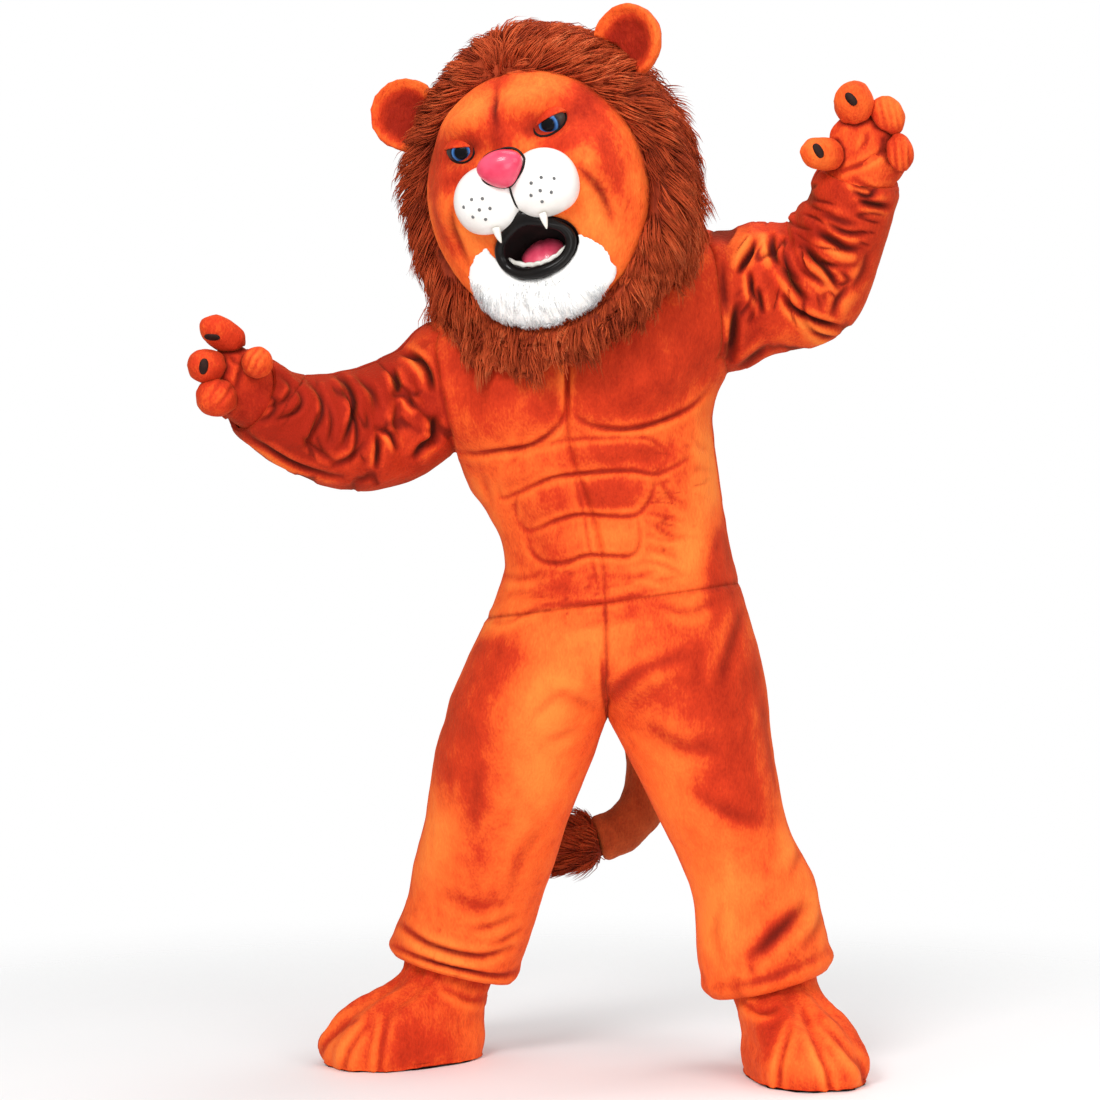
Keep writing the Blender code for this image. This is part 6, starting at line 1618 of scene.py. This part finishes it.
# Lines stitched down the digits that carry no pad
digitFolds = [
    ([(880, 96), (882, 112), (884, 128)], 2.2, 1.5, 1.2),
    ([(887, 96), (890, 112), (892, 128)], 2.2, 1.5, 1.2),
    ([(895, 100), (897, 114), (898, 126)], 2.2, 1.5, 1.2),
    ([(891, 134), (892, 150), (894, 166)], 2.2, 1.5, 1.2),
    ([(899, 134), (900, 150), (901, 166)], 2.2, 1.5, 1.2),
    ([(907, 136), (907, 150), (907, 164)], 2.0, 1.5, 1.0),
    ([(232, 378), (224, 392), (214, 406)], 2.2, 1.6, 1.4),
    ([(224, 374), (214, 388), (206, 400)], 2.0, 1.5, 1.2),
    ([(268, 348), (258, 360), (250, 376)], 2.2, 1.6, 1.4),
    ([(260, 346), (250, 358), (246, 370)], 2.0, 1.5, 1.2),
]
padlessDigits = ["digit_left_middle", "digit_left_ring", "digit_right_thumb", "digit_right_ring"]
# Digits that are longer than wide: the long way across and down the picture, the growth along it and across
# it, and a shift across and up in metres
longDigits = {"digit_left_middle": ((0.55, 0.83), 1.22, 0.92, (0.000, -0.003)),
              "digit_left_ring": ((0.15, 0.99), 1.25, 0.92, (0.004, -0.009)),
              "digit_right_ring": ((0.90, 0.44), 1.20, 1.12, (0.003, -0.003))}


# Plush limbs; sizes in metres
limbs = {
    "faced": (0.02, 0.3),  # how squarely a place faces forwards where folds begin to show, and show fully
    # unevenness of the pile, and how much the folds' brims are brightened: painted highlight
    "fluffSize": (0.045, 3), "fineFluff": (0.5, 0.014, 4), "crestHighlightTone": 0.6,
    # the inside of a wall moves with the outside it lies under, wherever that dips deeper than this
    "deep": -0.002, "wall": 0.014, "opposite": -0.5,
    # stuffed pieces: rounds of smoothing, and how much they swell again
    "smoothing": 26, "swell": 0.0022,
    # the plush of a boot bulges over the sole's edge, is drawn in under it, and runs down over it
    "bulge": (0.0045, -1.398, 0.018), "tuck": (0.003, 1.412, 1.428), "drawn": (0.0085, 1.395, 1.427),
    "soleCrease": 40, "soleInset": 0.011,
    # digits: painted shade where they meet the mitt, and on the mitt where they meet it; brighter towards
    # their tips, and their pads larger than packed
    "jointShade": (0.8, 0.005), "tip": (0.50, 0.004, 0.045), "jointNap": -0.15, "padGrowth": 1.2,
}
# each kind of piece: its tone, how it is refined or remeshed, its unevenness, and how dark its folds' painted
# shade is
boot = {"tone": -0.15, "levels": 3, "crease": 70, "fluff": 0.0022, "shade": 0.5}
mitt = {"levels": 3, "crease": 70, "fluff": 0.0032, "shade": 0.8}
digit = {"voxel": 0.0030, "fluff": 0.0018, "shade": 0.6}
tail = {"tone": 0.0, "voxel": 0.0050, "fluff": 0.0018, "shade": 1.0}
# Tones of the mitts and their digits: the wearer's right ones are darker with painted shade
mittTones = {"left": -0.20, "right": -0.65}
digitTones = {"left": -0.15, "right": -0.55}


def gapsTo(points, nodes):
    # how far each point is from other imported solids
    tree = treeOf([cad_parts[node].data for node in nodes])
    return np.array([tree.find_nearest(p)[3] for p in points])


def followed(points, normals, placed, rise):
    # carries the inside of a wall along with its outside
    deep = np.nonzero(rise < limbs["deep"])[0]
    if not len(deep):
        return
    tree = nearestOf(points[deep])
    for index in np.nonzero(normals[:, 1] > 0)[0]:
        _, number, gap = tree.find(points[index])
        outside = deep[number]
        if gap < limbs["wall"] and normals[index] @ normals[outside] < limbs["opposite"]:
            placed[index] = points[index] + rise[outside] * normals[outside]


def overSole(points, normals, placed):
    # the plush is drawn down over the edge of the sole
    height, middle, width = limbs["bulge"]
    depth, low, high = limbs["tuck"]
    bulge = height * bell(points[:, 2] - middle, width) - depth * softStep(-points[:, 2], low, high)
    placed[:, :2] += bulge[:, None] * normals[:, :2]
    depth, low, high = limbs["drawn"]
    placed[:, 2] -= depth * softStep(-points[:, 2], low, high)


def lengthened(piece, way, along, across, shift):
    axis = unit(np.array([[way[0], 0.0, -way[1]]]))[0]
    points = pointsOf(piece)
    middle = points.mean(0)
    away = points - middle
    share = (away @ axis)[:, None] * axis
    moved = middle + across * (away - share) + along * share
    movePoints(piece, moved + np.array([shift[0], 0.0, shift[1]]))


def plushPiece(node, finish, folds, nap, tone, settings, touching=()):
    piece = copied(node, "dressed_" + node)
    walled = "crease" in settings
    if walled:
        refined(creased(piece, settings["crease"]), settings["levels"])
    else:
        evened(piece, settings["voxel"], limbs["smoothing"])
        movePoints(piece, pointsOf(piece) + limbs["swell"] * normalsOf(piece))
        smoothShaded(piece)
    points, normals = pointsOf(piece), normalsOf(piece)
    facing = softStep(-normals[:, 1], *limbs["faced"])
    rise, hollow, crestHighlight = foldsOver(toPhoto(points), folds)
    share, fineSize, fineSeed = limbs["fineFluff"]
    coarse, fine = wobble(points, *limbs["fluffSize"]), wobble(points, fineSize, fineSeed)
    rise = rise * facing + settings["fluff"] * coarse + settings["fluff"] * share * fine
    placed = points + normals * rise[:, None]
    if walled:
        followed(points, normals, placed, rise)
    if node.startswith("boot"):
        overSole(points, normals, placed)
    movePoints(piece, placed)
    # painted shade in the folds' troughs, and painted light and highlight from the patches and brims
    hollow = hollow * facing * settings["shade"]
    tones = tone + facing * (blobsOver(toPhoto(points), nap) + limbs["crestHighlightTone"] * crestHighlight)
    # painted shade where the piece meets the others, and digits brighter towards their tips
    if touching:
        gaps = gapsTo(points, touching)
        dark, reach = limbs["jointShade"]
        hollow = np.maximum(hollow, dark * bell(gaps, reach))
        if node.startswith("digit"):
            bright, low, high = limbs["tip"]
            tones += bright * softStep(gaps, low, high) + limbs["jointNap"]
    mark(piece, "nap", tones)
    mark(piece, "hollow", hollow)
    piece.data.materials.append(finish)
    return declared(piece, "orange_plush", node)


def dressBoot(side, cloth, rubber):
    piece = plushPiece("boot_" + side, cloth, bootFolds, bootNapAndPaintedLight, boot["tone"], boot)
    sole = dressed("sole_" + side, "sole_rubber", rubber, crease=limbs["soleCrease"])
    points = pointsOf(sole)
    points[:, :2] -= limbs["soleInset"] * normalsOf(sole)[:, :2]
    movePoints(sole, points)


def dressMitt(side, cloth, pad):
    digits = ["digit_" + side + "_" + name for name in ("index", "middle", "ring", "thumb")]
    palm = plushPiece("mitt_" + side, cloth, mittFolds, [], mittTones[side], mitt, digits)
    for name in digits:
        folds = digitFolds if name in padlessDigits else []
        finger = plushPiece(name, cloth, folds, [], digitTones[side], digit, ["mitt_" + side])
        if name in longDigits:
            lengthened(finger, *longDigits[name])
        if name not in padlessDigits:
            claw = dressed(name.replace("digit", "claw"), "claw_dark", pad)
            points = pointsOf(claw)
            movePoints(claw, points.mean(0) + limbs["padGrowth"] * (points - points.mean(0)))


def dressLimbs():
    cloth = bpy.data.materials["plush"]
    pad = plainFinish("clawPad", (0.012, 0.005, 0.004), (0.040, 0.012, 0.008), size=0.01, roughness=0.6,
                      specular=0.15)
    rubber = plainFinish("soleRubber", (0.010, 0.009, 0.009), (0.022, 0.018, 0.016), roughness=0.75)
    for side in ("left", "right"):
        dressBoot(side, cloth, rubber)
        dressMitt(side, cloth, pad)
    # the tail's plush is a darker, browner copy: the darkness is painted shade
    shadedTailPlush = plushFinish("tailPlushShaded", dict(plush, deep=(0.17, 0.022, 0.007), red=(0.30, 0.045, 0.012),
                                         orange=(0.46, 0.085, 0.022), bright=(0.66, 0.16, 0.04)))
    plushPiece("tail", shadedTailPlush, [], [], tail["tone"], tail)
    print("limbs dressed")


stage = {
    "floor": (0.96, 0.96, 0.96), "floorRadius": 2.4, "floorDepth": 1.4402, "floorSides": 96,
    "floorFade": 0.4, "floorEdge": 0.05,  # it fades from here out, and is gone this near its edge
    "world": (1.0, 1.0, 1.0), "worldStrength": 0.46, "film": 36.0,
    # name, place, size, power, what it points at
    "lamps": [("key", (-1.6, -3.6, 1.9), 1.5, 120, (0, 0, -0.4)),
              ("fill", (2.6, -3.2, 0.8), 2.4, 45, (0, 0, -0.5)),
              ("top", (0.3, -0.4, 3.0), 2.0, 45, (0, 0, -0.4)),
              ("rim", (2.6, 1.5, 2.4), 2.0, 40, (0, 0, -0.3)),
              ("low", (0.2, -3.4, -0.9), 1.6, 26, (0, 0, 0.1))],
}


def layFloor():
    # a pale round floor that fades into the white around it
    radius, depth, sides = stage["floorRadius"], stage["floorDepth"], stage["floorSides"]
    turns = np.linspace(0, 2 * math.pi, sides, endpoint=False)
    ground = bpy.data.meshes.new("ground")
    ground.from_pydata([(radius * math.cos(a), radius * math.sin(a), -depth) for a in turns], [],
                       [tuple(range(sides))])
    paint = Finish("floorPaint", roughness=0.6)
    paint.colour((*stage["floor"], 1))
    far = paint.node("ShaderNodeVectorMath", {"operation": "LENGTH"}, {0: paint.place}, output="Value")
    near, end = math.hypot(stage["floorFade"], depth), math.hypot(radius - stage["floorEdge"], depth)
    shown = paint.node("ShaderNodeMapRange", {"interpolation_type": "SMOOTHSTEP"},
                       {"Value": far, "From Min": near, "From Max": end, "To Min": 1.0, "To Max": 0.0})
    paint.feed(paint.surface.inputs["Alpha"], shown)
    ground.materials.append(paint.material)
    linked("floor", ground)


def lightWorld():
    # the white that is seen is brighter than the light it gives
    world = bpy.data.worlds.new("studio")
    world.use_nodes = True
    tree = world.node_tree
    sky = tree.nodes["Background"]
    sky.inputs["Color"].default_value = (*stage["world"], 1)
    path, share = tree.nodes.new("ShaderNodeLightPath"), tree.nodes.new("ShaderNodeMath")
    share.operation = "MULTIPLY_ADD"
    share.inputs[1].default_value = 1.0 - stage["worldStrength"]
    share.inputs[2].default_value = stage["worldStrength"]
    tree.links.new(path.outputs["Is Camera Ray"], share.inputs[0])
    tree.links.new(share.outputs[0], sky.inputs["Strength"])
    scene.world = world


def setStage():
    layFloor()
    lightWorld()
    for name, place, size, power, target in stage["lamps"]:
        light = bpy.data.lights.new(name, "AREA")
        light.energy, light.size = power, size
        lamp = linked(name, light)
        lamp.location = place
        lamp.visible_camera = False
        lamp.rotation_euler = (Vector(target) - Vector(place)).to_track_quat("-Z", "Y").to_euler()
    lens = bpy.data.cameras.new("camera")
    lens.sensor_width = stage["film"]
    lens.lens = stage["film"] * camera["distance"] / (camera["metresPerPixel"] * camera["size"])
    viewer = linked("camera", lens)
    viewer.location = viewPoint
    viewer.rotation_euler = (math.radians(90), 0, 0)
    scene.camera = viewer
    scene.view_settings.view_transform = "Standard"
    print("stage set")


dressSuit()
dressFur(dressHead())
dressLimbs()
setStage()
